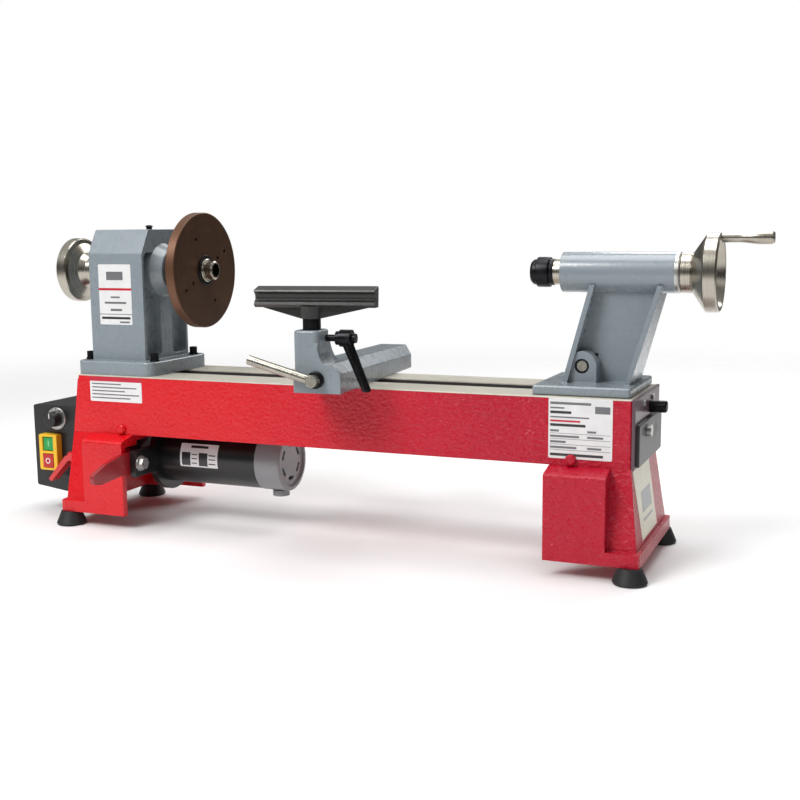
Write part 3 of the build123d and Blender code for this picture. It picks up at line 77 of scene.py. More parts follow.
# places read from the frame
bed_low, bed_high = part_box("bed")
_, plate_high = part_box("faceplate")
quill_low, quill_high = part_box("quill")
bed_length = 0.736
bed_left = bed_high.x - bed_length
bed_top = bed_high.z
spindle_height = (quill_low.z + quill_high.z) / 2
motor_height = 0.086
X_AXIS = Vector((1, 0, 0))
Y_AXIS = Vector((0, 1, 0))
Z_AXIS = Vector((0, 0, 1))
SMALL_STEPS = 48  # facets round a small ring
PRINT_SHARE = 0.6  # thickness of a printed bar as a share of its label's


# ---------------------------------------------------------------- what a user may change
class LatheFinishes(bpy.types.PropertyGroup):
    """Base colours of the finishes."""

    enamel_red: bpy.props.FloatVectorProperty(
        name="Red enamel", description="Bed and legs near the headstock", subtype="COLOR",
        size=3, min=0.0, max=1.0, default=(0.70, 0.006, 0.012))
    # painted shade: the crimson is the same red enamel, darkened towards the tailstock's end where less light
    # falls on the bed and leg
    enamel_shaded_crimson: bpy.props.FloatVectorProperty(
        name="Crimson enamel", description="Bed and leg near the tailstock", subtype="COLOR",
        size=3, min=0.0, max=1.0, default=(0.50, 0.001, 0.022))
    enamel_grey: bpy.props.FloatVectorProperty(
        name="Grey enamel", description="Headstock, tool rest arm and tailstock", subtype="COLOR",
        size=3, min=0.0, max=1.0, default=(0.238, 0.278, 0.308))
    bare_iron: bpy.props.FloatVectorProperty(
        name="Bare iron", description="Machined top of the bed", subtype="COLOR",
        size=3, min=0.0, max=1.0, default=(0.56, 0.53, 0.45))
    bronze: bpy.props.FloatVectorProperty(
        name="Bronze", description="Faceplate", subtype="COLOR",
        size=3, min=0.0, max=1.0, default=(0.070, 0.030, 0.012))
    steel: bpy.props.FloatVectorProperty(
        name="Steel", description="Turned and polished steel", subtype="COLOR",
        size=3, min=0.0, max=1.0, default=(0.46, 0.43, 0.37))
    cast_black: bpy.props.FloatVectorProperty(
        name="Black casting", description="Tool rest", subtype="COLOR",
        size=3, min=0.0, max=1.0, default=(0.008, 0.008, 0.007))
    motor_black: bpy.props.FloatVectorProperty(
        name="Motor black", description="Motor tube and mount", subtype="COLOR",
        size=3, min=0.0, max=1.0, default=(0.005, 0.005, 0.006))
    cap_grey: bpy.props.FloatVectorProperty(
        name="Cap grey", description="Motor end cap", subtype="COLOR",
        size=3, min=0.0, max=1.0, default=(0.26, 0.265, 0.275))
    # painted shade: the lever's red is the red enamel darkened for its shaded side face
    lever_shaded_red: bpy.props.FloatVectorProperty(
        name="Lever red", description="Tension lever", subtype="COLOR",
        size=3, min=0.0, max=1.0, default=(0.30, 0.006, 0.012))
    label_white: bpy.props.FloatVectorProperty(
        name="Label white", description="Blank of the labels", subtype="COLOR",
        size=3, min=0.0, max=1.0, default=(0.80, 0.80, 0.80))


class LatheSizes(bpy.types.PropertyGroup):
    """Sizes of the added pieces."""

    label_thickness: bpy.props.FloatProperty(
        name="Label thickness", description="How far a label stands off its surface",
        subtype="DISTANCE", unit="LENGTH", min=0.0001, max=0.002, default=0.0004)
    edge_softness: bpy.props.FloatProperty(
        name="Edge softness", description="Radius of the soft light on hard edges",
        subtype="DISTANCE", unit="LENGTH", min=0.0, max=0.005, default=0.0012)
    turning_steps: bpy.props.IntProperty(
        name="Turning steps", description="Facets round a turned piece", min=24, max=192, default=96)


class LatheStage(bpy.types.PropertyGroup):
    """Floor, light and camera."""

    camera_place: bpy.props.FloatVectorProperty(
        name="Camera place", description="Where the camera stands", subtype="TRANSLATION",
        unit="LENGTH", size=3, default=(0.59375, -1.30363, 0.38080))
    camera_turn: bpy.props.FloatProperty(
        name="Camera turn", description="Turn to the left of straight back", subtype="ANGLE",
        unit="ROTATION", default=radians(22.78))
    camera_tilt: bpy.props.FloatProperty(
        name="Camera tilt", description="Tilt above level", subtype="ANGLE",
        unit="ROTATION", default=radians(-8.322))
    camera_roll: bpy.props.FloatProperty(
        name="Camera roll", description="Roll about the line of sight", subtype="ANGLE",
        unit="ROTATION", default=radians(-0.544))
    camera_lens: bpy.props.FloatProperty(
        name="Lens", description="Focal length on a 36 mm sensor", subtype="DISTANCE_CAMERA",
        min=10.0, max=200.0, default=51.78)
    floor_colour: bpy.props.FloatVectorProperty(
        name="Floor", description="Colour of the floor", subtype="COLOR",
        size=3, min=0.0, max=1.0, default=(0.86, 0.86, 0.86))


# ---------------------------------------------------------------- shader helpers
class Finish:
    """One procedural material and the nodes it is made of."""

    def __init__(self, name, colour, roughness, metallic=0.0, coat=0.0, coat_roughness=0.05):
        self.material = bpy.data.materials.new(name)
        self.material.use_nodes = True
        self.tree = self.material.node_tree
        self.shader = self.tree.nodes["Principled BSDF"]
        self.shader.inputs["Base Color"].default_value = (*colour[:3], 1)
        self.shader.inputs["Roughness"].default_value = roughness
        self.shader.inputs["Metallic"].default_value = metallic
        self.shader.inputs["Coat Weight"].default_value = coat
        self.shader.inputs["Coat Roughness"].default_value = coat_roughness
        self.place = self.node("ShaderNodeTexCoord").outputs["Object"]
        self.normal = None

    def node(self, kind, **settings):
        made = self.tree.nodes.new(kind)
        for key, value in settings.items():
            setattr(made, key, value)
        return made

    def link(self, source, target):
        self.tree.links.new(source, target)

    def feed(self, target, value):
        """Connect a socket or set a plain value."""
        if isinstance(value, bpy.types.NodeSocket):
            self.link(value, target)
        else:
            target.default_value = value

    def math(self, operation, first, second=0.0, clamp=False):
        made = self.node("ShaderNodeMath", operation=operation, use_clamp=clamp)
        self.feed(made.inputs[0], first)
        self.feed(made.inputs[1], second)
        return made.outputs[0]

    def stretched(self, scale, turn=(0, 0, 0)):
        made = self.node("ShaderNodeMapping")
        made.inputs["Scale"].default_value = scale
        made.inputs["Rotation"].default_value = turn
        self.link(self.place, made.inputs["Vector"])
        return made.outputs["Vector"]

    def noise(self, scale, detail=4.0, roughness=0.55, distortion=0.0, vector=None):
        made = self.node("ShaderNodeTexNoise")
        made.inputs["Scale"].default_value = scale
        made.inputs["Detail"].default_value = detail
        made.inputs["Roughness"].default_value = roughness
        made.inputs["Distortion"].default_value = distortion
        self.link(vector or self.place, made.inputs["Vector"])
        return made.outputs["Fac"]

    def cells(self, scale, vector):
        """Distance to the nearest point of a scattered set, smoothed."""
        made = self.node("ShaderNodeTexVoronoi", feature="SMOOTH_F1")
        made.inputs["Scale"].default_value = scale
        self.link(vector, made.inputs["Vector"])
        return made.outputs["Distance"]

    def between(self, value, low, high):
        """Map a value to 0..1 between two levels."""
        made = self.node("ShaderNodeMapRange", interpolation_type="SMOOTHSTEP")
        made.inputs["From Min"].default_value = low
        made.inputs["From Max"].default_value = high
        self.link(value, made.inputs["Value"])
        return made.outputs["Result"]

    def levels(self, value, low, high, to_low, to_high):
        """Map a value from one span to another."""
        made = self.node("ShaderNodeMapRange")
        made.inputs["From Min"].default_value = low
        made.inputs["From Max"].default_value = high
        made.inputs["To Min"].default_value = to_low
        made.inputs["To Max"].default_value = to_high
        self.link(value, made.inputs["Value"])
        return made.outputs["Result"]

    def blend(self, share, first, second):
        """Mix two colours, the second by its share."""
        made = self.node("ShaderNodeMix", data_type="RGBA")
        self.feed(made.inputs["Factor"], share)
        for socket, value in ((made.inputs["A"], first), (made.inputs["B"], second)):
            self.feed(socket, value if isinstance(value, bpy.types.NodeSocket) else (*value[:3], 1))
        return made.outputs["Result"]

    def along(self):
        """The three object coordinates as separate sockets."""
        made = self.node("ShaderNodeSeparateXYZ")
        self.link(self.place, made.inputs["Vector"])
        return made.outputs

    def radius(self):
        """Distance from the spindle's line."""
        _, side, up = self.along()
        rise = self.math("SUBTRACT", up, spindle_height)
        return self.math("SQRT", self.math("ADD", self.math("POWER", side, 2), self.math("POWER", rise, 2)))

    def edges(self, radius):
        """How near a hard edge is, 0 on open faces and 1 on the edge."""
        soft = self.node("ShaderNodeBevel", samples=4)
        soft.inputs["Radius"].default_value = radius
        true = self.node("ShaderNodeNewGeometry")
        dot = self.node("ShaderNodeVectorMath", operation="DOT_PRODUCT")
        self.link(soft.outputs["Normal"], dot.inputs[0])
        self.link(true.outputs["Normal"], dot.inputs[1])
        return self.between(self.math("SUBTRACT", 1.0, dot.outputs["Value"]), 0.01, 0.16)

    def soften(self, radius):
        soft = self.node("ShaderNodeBevel", samples=4)
        soft.inputs["Radius"].default_value = radius
        self.normal = soft.outputs["Normal"]
        self.link(self.normal, self.shader.inputs["Normal"])
        self.link(self.normal, self.shader.inputs["Coat Normal"])

    def relief(self, height, strength, depth):
        """Add bump on top of what is there."""
        made = self.node("ShaderNodeBump")
        made.inputs["Strength"].default_value = strength
        made.inputs["Distance"].default_value = depth
        self.link(height, made.inputs["Height"])
        if self.normal:
            self.link(self.normal, made.inputs["Normal"])
        self.normal = made.outputs["Normal"]
        self.link(self.normal, self.shader.inputs["Normal"])

    def relief_in_coat(self):
        self.link(self.normal, self.shader.inputs["Coat Normal"])

    def colour(self, socket):
        self.link(socket, self.shader.inputs["Base Color"])

    def rough(self, socket):
        self.link(socket, self.shader.inputs["Roughness"])


finishes = {}


def tint(colour, factor):
    """A lighter or darker copy of a colour."""
    return tuple(min(1.0, part * factor) for part in colour[:3])


def hammered_red(red, shaded_crimson, iron, softness):
    """Wet-looking red enamel over a rough casting, with a bare machined top on the bed; painted shade darkens
    the red to crimson towards the tailstock and the slot to near-black, and pink flecks towards the tailstock
    are a painted sheen.
    """
    made = Finish("red_hammered_enamel", red, roughness=0.36, coat=0.32, coat_roughness=0.08)
    made.shader.inputs["Specular IOR Level"].default_value = 0.3
    x, y, z = made.along()
    to_right = made.between(x, bed_left + 0.14, bed_left + 0.60)
    shade = made.blend(made.levels(made.noise(9, 3), 0.3, 0.7, 0.0, 0.35), (0, 0, 0), (1, 1, 1))
    # painted shade: the red darkens to crimson towards the tailstock's end
    paint = made.blend(to_right, red, shaded_crimson)
    paint = made.blend(made.math("MULTIPLY", shade, 0.35), paint, tint(shaded_crimson, 0.55))
    lumps = made.noise(150, 5, 0.62, 1.6)
    wrinkles = made.cells(210, made.stretched((1.0, 1.0, 1.35), turn=(0, radians(35), 0)))
    slanted = made.stretched((0.55, 1, 1.2), turn=(0, radians(28), 0))
    # painted sheen: pink flecks on the red, stronger towards the tailstock's end
    sheen_flecks = made.between(made.noise(270, 5, 0.7, 2.2, slanted), 0.60, 0.68)
    sheen_fleck_share = made.math("MULTIPLY", sheen_flecks, made.math("MULTIPLY", to_right, 0.55))
    paint = made.blend(sheen_fleck_share, paint, (0.80, 0.17, 0.31))
    iron_colour = made.blend(made.noise(60, 6, 0.6), tint(iron, 0.82), tint(iron, 1.18))
    scratches = made.noise(55, 4, 0.6, vector=made.stretched((0.6, 30, 1)))
    iron_colour = made.blend(made.levels(scratches, 0.4, 0.65, 0.0, 0.4), iron_colour, tint(iron, 0.45))
    skim, slot_half_width, slot_depth = 0.0014, 0.0186, 0.0175
    slot_start, slot_end = bed_left + 0.015, bed_left + 0.729
    top = made.math("GREATER_THAN", z, bed_top - skim)
    in_slot = made.math("MULTIPLY", made.math("LESS_THAN", made.math("ABSOLUTE", y), slot_half_width),
                        made.math("GREATER_THAN", z, bed_top - slot_depth))
    inside = made.math("MULTIPLY", made.math("GREATER_THAN", x, slot_start),
                       made.math("LESS_THAN", x, slot_end))
    in_slot = made.math("MULTIPLY", in_slot, inside)
    bare = made.math("MAXIMUM", top, in_slot)
    # painted shade: the inside of the slot is made near-black
    iron_colour = made.blend(made.math("SUBTRACT", in_slot, top, clamp=True), iron_colour, (0.05, 0.05, 0.05))
    made.colour(made.blend(bare, paint, iron_colour))
    made.rough(made.math("ADD", made.math("MULTIPLY", bare, 0.10), made.levels(lumps, 0.3, 0.7, 0.24, 0.38)))
    made.soften(softness)
    depth_share = made.math("ADD", made.math("MULTIPLY", to_right, 0.7), 0.30)
    height = made.math("ADD", made.math("MULTIPLY", lumps, 0.9), made.math("MULTIPLY", wrinkles, 0.7))
    painted = made.math("SUBTRACT", 1.0, bare)
    height = made.math("MULTIPLY", made.math("MULTIPLY", height, depth_share), painted)
    made.relief(height, 0.85, 0.0019)
    made.relief_in_coat()
    return made


def grey_enamel(grey, softness):
    """Thick glossy grey enamel on a fettled casting."""
    made = Finish("blue_grey_enamel", grey, roughness=0.30, coat=0.55, coat_roughness=0.08)
    drift = made.noise(14, 4, 0.5)
    paint = made.blend(made.levels(drift, 0.3, 0.7, 0, 1), tint(grey, 0.97), tint(grey, 1.03))
    grime = made.between(made.noise(48, 6, 0.65, 0.6), 0.60, 0.78)
    paint = made.blend(made.math("MULTIPLY", grime, 0.03), paint, (0.16, 0.15, 0.11))
    edge = made.edges(softness * 1.6)
    chips = made.math("MULTIPLY", edge, made.between(made.noise(90, 5, 0.7), 0.42, 0.62))
    paint = made.blend(made.math("MULTIPLY", chips, 0.12), paint, tint(grey, 1.5))
    made.colour(paint)
    made.rough(made.levels(made.noise(70, 4), 0.3, 0.7, 0.22, 0.36))
    made.soften(softness)
    made.relief(made.noise(230, 4, 0.5), 0.14, 0.0005)
    made.relief(made.noise(34, 3, 0.5), 0.04, 0.0008)
    made.relief_in_coat()
    return made


def turned_steel(colour):
    """Polished steel with fine rings left by turning about the spindle's line."""
    roughness = 0.22
    made = Finish("turned_steel", colour, roughness=roughness, metallic=1.0)
    lines = made.node("ShaderNodeCombineXYZ")
    made.link(made.along()["X"], lines.inputs[0])
    made.link(made.radius(), lines.inputs[1])
    rings = made.noise(2600.0, 2, 0.6, vector=lines.outputs[0])
    stains = made.between(made.noise(26, 5, 0.6, 0.8), 0.50, 0.75)
    tone = made.blend(made.levels(rings, 0.3, 0.7, 0, 1), tint(colour, 0.80), tint(colour, 1.12))
    tone = made.blend(made.math("MULTIPLY", stains, 0.35), tone, (0.30, 0.25, 0.17))
    made.colour(tone)
    made.rough(made.levels(rings, 0.3, 0.7, roughness * 0.75, roughness * 1.35))
    made.soften(0.0005)
    made.relief(rings, 0.10, 0.0002)
    return made


def plain_steel(name, colour, roughness):
    """Plated or blackened steel hardware."""
    made = Finish(name, colour, roughness=roughness, metallic=0.9)
    mottling = made.noise(120, 5, 0.6)
    wear = made.math("MULTIPLY", made.edges(0.0006), made.between(made.noise(300, 4), 0.35, 0.6))
    tone = made.blend(made.levels(mottling, 0.3, 0.7, 0, 1), tint(colour, 0.8), tint(colour, 1.2))
    made.colour(made.blend(made.math("MULTIPLY", wear, 0.6), tone, tint(colour, 2.4)))
    made.rough(made.levels(mottling, 0.3, 0.7, roughness * 0.8, roughness * 1.3))
    made.soften(0.0005)
    made.relief(made.noise(700, 3), 0.12, 0.0002)
    return made


def turned_bronze(bronze):
    """Dark bronze-brown disc with clear turning rings and a painted highlight round its rim."""
    made = Finish("dark_bronze", bronze, roughness=0.38, metallic=0.55)
    spread = made.radius()
    lines = made.node("ShaderNodeCombineXYZ")
    made.link(spread, lines.inputs[1])
    rings = made.noise(1900, 2, 0.6, vector=lines.outputs[0])
    bands = made.noise(240, 2, 0.5, vector=lines.outputs[0])
    smears = made.noise(32, 5, 0.6, 0.5)
    tone = made.blend(made.levels(smears, 0.3, 0.7, 0, 1), tint(bronze, 0.72), tint(bronze, 1.30))
    tone = made.blend(made.levels(bands, 0.4, 0.6, 0, 0.35), tone, tint(bronze, 1.6))
    # painted highlight: a lighter band round the rim's edge
    rim_start, rim_end = 0.0735, 0.0748
    rim_highlight = made.between(spread, rim_start, rim_end)
    tone = made.blend(made.math("MULTIPLY", rim_highlight, 0.75), tone, (0.17, 0.080, 0.045))
    made.colour(tone)
    made.rough(made.levels(rings, 0.3, 0.7, 0.30, 0.48))
    made.soften(0.0007)
    made.relief(rings, 0.16, 0.0003)
    return made


def rough_casting(colour):
    """Sand-cast surface under thin black paint."""
    roughness = 0.40
    made = Finish("black_casting", colour, roughness=roughness, coat=0.25, coat_roughness=0.25)
    grit = made.noise(420.0, 5, 0.7)
    patches = made.noise(38, 4, 0.6)
    tone = made.blend(made.levels(patches, 0.3, 0.7, 0, 1), tint(colour, 0.7), tint(colour, 1.5))
    rubbed = made.math("MULTIPLY", made.edges(0.0010), made.between(made.noise(160, 4), 0.35, 0.6))
    made.colour(made.blend(made.math("MULTIPLY", rubbed, 0.5), tone, (0.20, 0.19, 0.17)))
    made.rough(made.levels(grit, 0.3, 0.7, roughness * 0.8, roughness * 1.25))
    made.soften(0.0010)
    made.relief(grit, 0.4, 0.0006)
    return made


def satin_paint(name, colour, roughness, grain=900.0, coat=0.2):
    """Even factory paint or powder coat."""
    made = Finish(name, colour, roughness=roughness, coat=coat, coat_roughness=0.15)
    grit = made.noise(grain, 3, 0.5)
    dust = made.between(made.noise(22, 5, 0.6), 0.52, 0.75)
    tone = made.blend(made.math("MULTIPLY", dust, 0.25), colour, tint(colour, 1.9))
    rubbed = made.math("MULTIPLY", made.edges(0.0007), made.between(made.noise(210, 4), 0.4, 0.62))
    made.colour(made.blend(made.math("MULTIPLY", rubbed, 0.5), tone, tint(colour, 3.2)))
    made.rough(made.levels(dust, 0.0, 1.0, roughness, roughness * 1.35))
    made.soften(0.0008)
    made.relief(grit, 0.18, 0.0003)
    return made


def moulded(name, colour, roughness=0.36, grain=1500.0):
    """Moulded plastic or rubber with a fine spark-eroded grain."""
    made = Finish(name, colour, roughness=roughness)
    grit = made.noise(grain, 2, 0.5)
    dust = made.between(made.noise(60, 5, 0.6), 0.5, 0.8)
    made.colour(made.blend(made.math("MULTIPLY", dust, 0.22), colour, tint(colour, 1.5)))
    made.rough(made.levels(grit, 0.3, 0.7, roughness * 0.85, roughness * 1.2))
    made.soften(0.0005)
    made.relief(grit, 0.2, 0.0002)
    return made


def paper(name, colour):
    """Printed film, slightly mottled."""
    made = Finish(name, colour, roughness=0.30, coat=0.3, coat_roughness=0.1)
    mottling = made.levels(made.noise(40, 4), 0.3, 0.7, 0, 1)
    made.colour(made.blend(mottling, tint(colour, 0.93), tint(colour, 1.03)))
    made.relief(made.noise(500, 2), 0.06, 0.0001)
    return made


def mix_finishes(colours, sizes):
    """Make every finish once."""
    softness = sizes.edge_softness
    red, shaded_crimson, iron = colours.enamel_red, colours.enamel_shaded_crimson, colours.bare_iron
    finishes["red_hammered_paint"] = hammered_red(red, shaded_crimson, iron, softness)
    finishes["blue_grey_paint"] = grey_enamel(colours.enamel_grey, softness)
    finishes["polished_steel"] = turned_steel(colours.steel)
    finishes["bright_steel"] = plain_steel("bright_steel", (0.38, 0.36, 0.31), 0.22)
    finishes["zinc_steel"] = plain_steel("zinc_steel", (0.50, 0.50, 0.48), 0.30)
    finishes["black_steel"] = plain_steel("black_steel", (0.018, 0.018, 0.020), 0.34)
    finishes["dark_bronze"] = turned_bronze(colours.bronze)
    finishes["black_cast"] = rough_casting(colours.cast_black)
    finishes["black_rubber"] = moulded("black_rubber", (0.012, 0.012, 0.013), 0.55, 500.0)
    finishes["belt_rubber"] = moulded("belt_rubber", (0.014, 0.013, 0.012), 0.6, 500.0)
    finishes["motor_black"] = satin_paint("motor_black", colours.motor_black, 0.30)
    finishes["light_grey_cap"] = satin_paint("light_grey_cap", colours.cap_grey, 0.42, 600.0)
    # the darker red on the lever is painted shade
    finishes["dark_red_paint"] = satin_paint("dark_red_paint", colours.lever_shaded_red, 0.30, 500.0, 0.5)
    finishes["lock_red"] = satin_paint("lock_red", (0.62, 0.012, 0.014), 0.30, 500.0, 0.5)
    finishes["box_black"] = satin_paint("box_black", (0.006, 0.006, 0.007), 0.42, 1100.0)
    finishes["mauve_plate"] = satin_paint("mauve_plate", (0.105, 0.055, 0.072), 0.36, 800.0, 0.3)
    finishes["black_plastic"] = moulded("black_plastic", (0.014, 0.014, 0.015))
    finishes["yellow_plastic"] = moulded("yellow_plastic", (0.86, 0.50, 0.02))
    finishes["green_plastic"] = moulded("green_plastic", (0.015, 0.33, 0.07), 0.28)
    finishes["red_plastic"] = moulded("red_plastic", (0.50, 0.018, 0.018), 0.28)
    finishes["board_green"] = moulded("board_green", (0.03, 0.16, 0.07), 0.4)
    finishes["label_white"] = paper("label_white", colours.label_white)
    finishes["label_cream"] = paper("label_cream", (0.66, 0.60, 0.42))
    finishes["label_grey"] = paper("label_grey", (0.16, 0.16, 0.17))
    finishes["label_black"] = paper("label_black", (0.02, 0.02, 0.022))
    finishes["label_red"] = paper("label_red", (0.55, 0.010, 0.035))
    finishes["light_green"] = paper("light_green", (0.35, 0.75, 0.42))


def finish_of(name):
    return finishes[name].material


def front_middle(low, high):
    """The middle of the front face of a box."""
    return Vector(((low.x + high.x) / 2, low.y, (low.z + high.z) / 2))


# ---------------------------------------------------------------- modelling helpers
def let_go():
    """Leave edit mode and deselect everything."""
    if bpy.context.mode != "OBJECT":
        bpy.ops.object.mode_set(mode="OBJECT")
    bpy.ops.object.select_all(action="DESELECT")


def take(piece):
    """Select one piece alone and make it active."""
    let_go()
    piece.select_set(True)
    bpy.context.view_layer.objects.active = piece


def edit(piece):
    take(piece)
    bpy.ops.object.mode_set(mode="EDIT")
    bpy.ops.mesh.select_all(action="SELECT")


def close(piece, smooth):
    """Merge doubles, turn faces outwards and smooth the gentle edges."""
    edit(piece)
    bpy.ops.mesh.remove_doubles(threshold=1e-6)
    bpy.ops.mesh.dissolve_degenerate(threshold=1e-7)
    bpy.ops.mesh.normals_make_consistent(inside=False)
    let_go()
    take(piece)
    bpy.ops.object.shade_smooth_by_angle(angle=radians(smooth))
    let_go()


def ring_of_edges(name, points):
    """A closed ring of edges through points in space, from a circle primitive."""
    let_go()
    bpy.ops.mesh.primitive_circle_add(vertices=len(points), radius=0.01, fill_type="NOTHING")
    piece = bpy.context.object
    piece.name = name
    piece.data.name = name
    for vertex, point in zip(piece.data.vertices, points):
        vertex.co = point
    return piece


def rounded(corners, steps):
    """Replace the corners of an outline, given as (a, b, radius), by arcs."""
    made = []
    count = len(corners)
    for index, (a, b, radius) in enumerate(corners):
        here = Vector((a, b))
        to_last = Vector(corners[index - 1][:2]) - here
        to_next = Vector(corners[(index + 1) % count][:2]) - here
        if radius <= 0 or to_last.length < 1e-7 or to_next.length < 1e-7:
            made.append((a, b))
            continue
        angle = to_last.angle(to_next)
        if angle > radians(176):
            made.append((a, b))
            continue
        reach = min(radius / tan(angle / 2), 0.48 * to_last.length, 0.48 * to_next.length)
        radius = reach * tan(angle / 2)
        middle = here + (to_last.normalized() + to_next.normalized()).normalized() * (radius / sin(angle / 2))
        start = here + to_last.normalized() * reach - middle
        sweep = pi - angle
        turn = 1 if start.x * (here - middle).y - start.y * (here - middle).x > 0 else -1
        for step in range(steps + 1):
            share = turn * sweep * step / steps
            made.append((middle.x + start.x * cos(share) - start.y * sin(share),
                         middle.y + start.x * sin(share) + start.y * cos(share)))
    return made


def turned(name, profile, centre, steps, axis=X_AXIS):
    """Spin a half section, given as (along, radius, rounding), about a line."""
    outline = rounded(profile, 5)
    piece = ring_of_edges(name, [centre + axis * along + Z_AXIS * radius for along, radius in outline])
    edit(piece)
    bpy.ops.mesh.spin(steps=steps, angle=2 * pi, center=centre, axis=axis)
    let_go()
    close(piece, 28)
    return piece


def slab(name, corners, origin, across, up, thickness):
    """Push an outline, given as (a, b, radius), out along the normal of its plane."""
    outline = rounded(corners, 6)
    out = across.cross(up)
    piece = ring_of_edges(name, [origin + across * a + up * b for a, b in outline])
    edit(piece)
    bpy.ops.mesh.edge_face_add()
    bpy.ops.mesh.extrude_region_move(TRANSFORM_OT_translate={"value": out * thickness})
    bpy.ops.mesh.select_all(action="SELECT")
    bpy.ops.mesh.normals_make_consistent(inside=False)
    let_go()
    close(piece, 40)
    return piece


def box_corners(width, height, radius=0.0):
    """Corners of a rectangle round its own middle."""
    return [(-width / 2, -height / 2, radius), (width / 2, -height / 2, radius),
            (width / 2, height / 2, radius), (-width / 2, height / 2, radius)]


def dress(piece, body, finish, slot=None, *nodes):
    """Give a piece its finish and the body it moves with, and hide what it stands for."""
    piece.data.materials.clear()
    piece.data.materials.append(finish_of(finish))
    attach(piece, body)
    if nodes:
        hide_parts(*nodes)
    return piece


def join(main, others):
    """Join pieces into one, keeping each one's finish."""
    take(main)
    for other in others:
        other.select_set(True)
    bpy.ops.object.join()
    let_go()
    return main


def tube(name, points, radius):
    """A round bar along points, its corners already rounded."""
    let_go()
    bpy.ops.curve.primitive_nurbs_path_add(location=(0, 0, 0))
    piece = bpy.context.object
    piece.name = name
    curve = piece.data
    curve.splines.clear()
    line = curve.splines.new("POLY")
    line.points.add(len(points) - 1)
    for made, point in zip(line.points, points):
        made.co = (*point, 1)
    curve.bevel_depth = radius
    curve.bevel_resolution = 7
    curve.use_fill_caps = True
    bpy.ops.object.convert(target="MESH")
    close(piece, 40)
    return piece


def elbow(start, corner, end, radius):
    """Points from start to end with the corner between them rounded."""
    steps = 10
    back = (start - corner).normalized()
    onward = (end - corner).normalized()
    reach = min(radius, (start - corner).length * 0.95, (end - corner).length * 0.95)
    points = [start]
    for step in range(steps + 1):
        share = step / steps
        near = corner + back * reach * (1 - share)
        far = corner + onward * reach * share
        points.append(near.lerp(far, share))
    points.append(end)
    return points


def wrapped(name, span, angles, radius, height, finish, depth=0.0004):
    """A film that lies on a round tube along X, from one angle to another below its middle line."""
    let_go()
    bpy.ops.mesh.primitive_grid_add(x_subdivisions=2, y_subdivisions=14, size=1.0)
    piece = bpy.context.object
    piece.name = name
    piece.data.name = name
    for vertex in piece.data.vertices:
        turn = angles[0] + (vertex.co.y + 0.5) * (angles[1] - angles[0])
        along = span[0] + (vertex.co.x + 0.5) * (span[1] - span[0])
        vertex.co = (along, -radius * cos(turn), height + radius * sin(turn))
    take(piece)
    film = piece.modifiers.new("film", "SOLIDIFY")
    film.thickness = depth
    film.offset = 0
    bpy.ops.object.modifier_apply(modifier=film.name)
    close(piece, 40)
    piece.data.materials.append(finish_of(finish))
    return piece


def print_bars(blank, origin, across, up, marks, thickness):
    """Lay bars on a blank, each (left, bottom, width, height, finish) from the blank's middle."""
    face = origin + across.cross(up) * thickness * PRINT_SHARE
    bars = []
    for number, (left, bottom, width, height, finish) in enumerate(marks):
        middle = face + across * (left + width / 2) + up * (bottom + height / 2)
        bar = slab(f"{blank.name}_mark_{number}", box_corners(width, height), middle, across, up,
                   thickness * PRINT_SHARE)
        bar.data.materials.append(finish_of(finish))
        bars.append(bar)
    join(blank, bars)


def printed_label(name, origin, size, marks, thickness):
    """A thin upright blank on the frame's front, with printed bars."""
    corner_radius = 0.0015
    blank = slab(name, box_corners(*size, corner_radius), origin, X_AXIS, Z_AXIS, thickness)
    dress(blank, "frame", "label_white")
    print_bars(blank, origin, X_AXIS, Z_AXIS, marks, thickness)


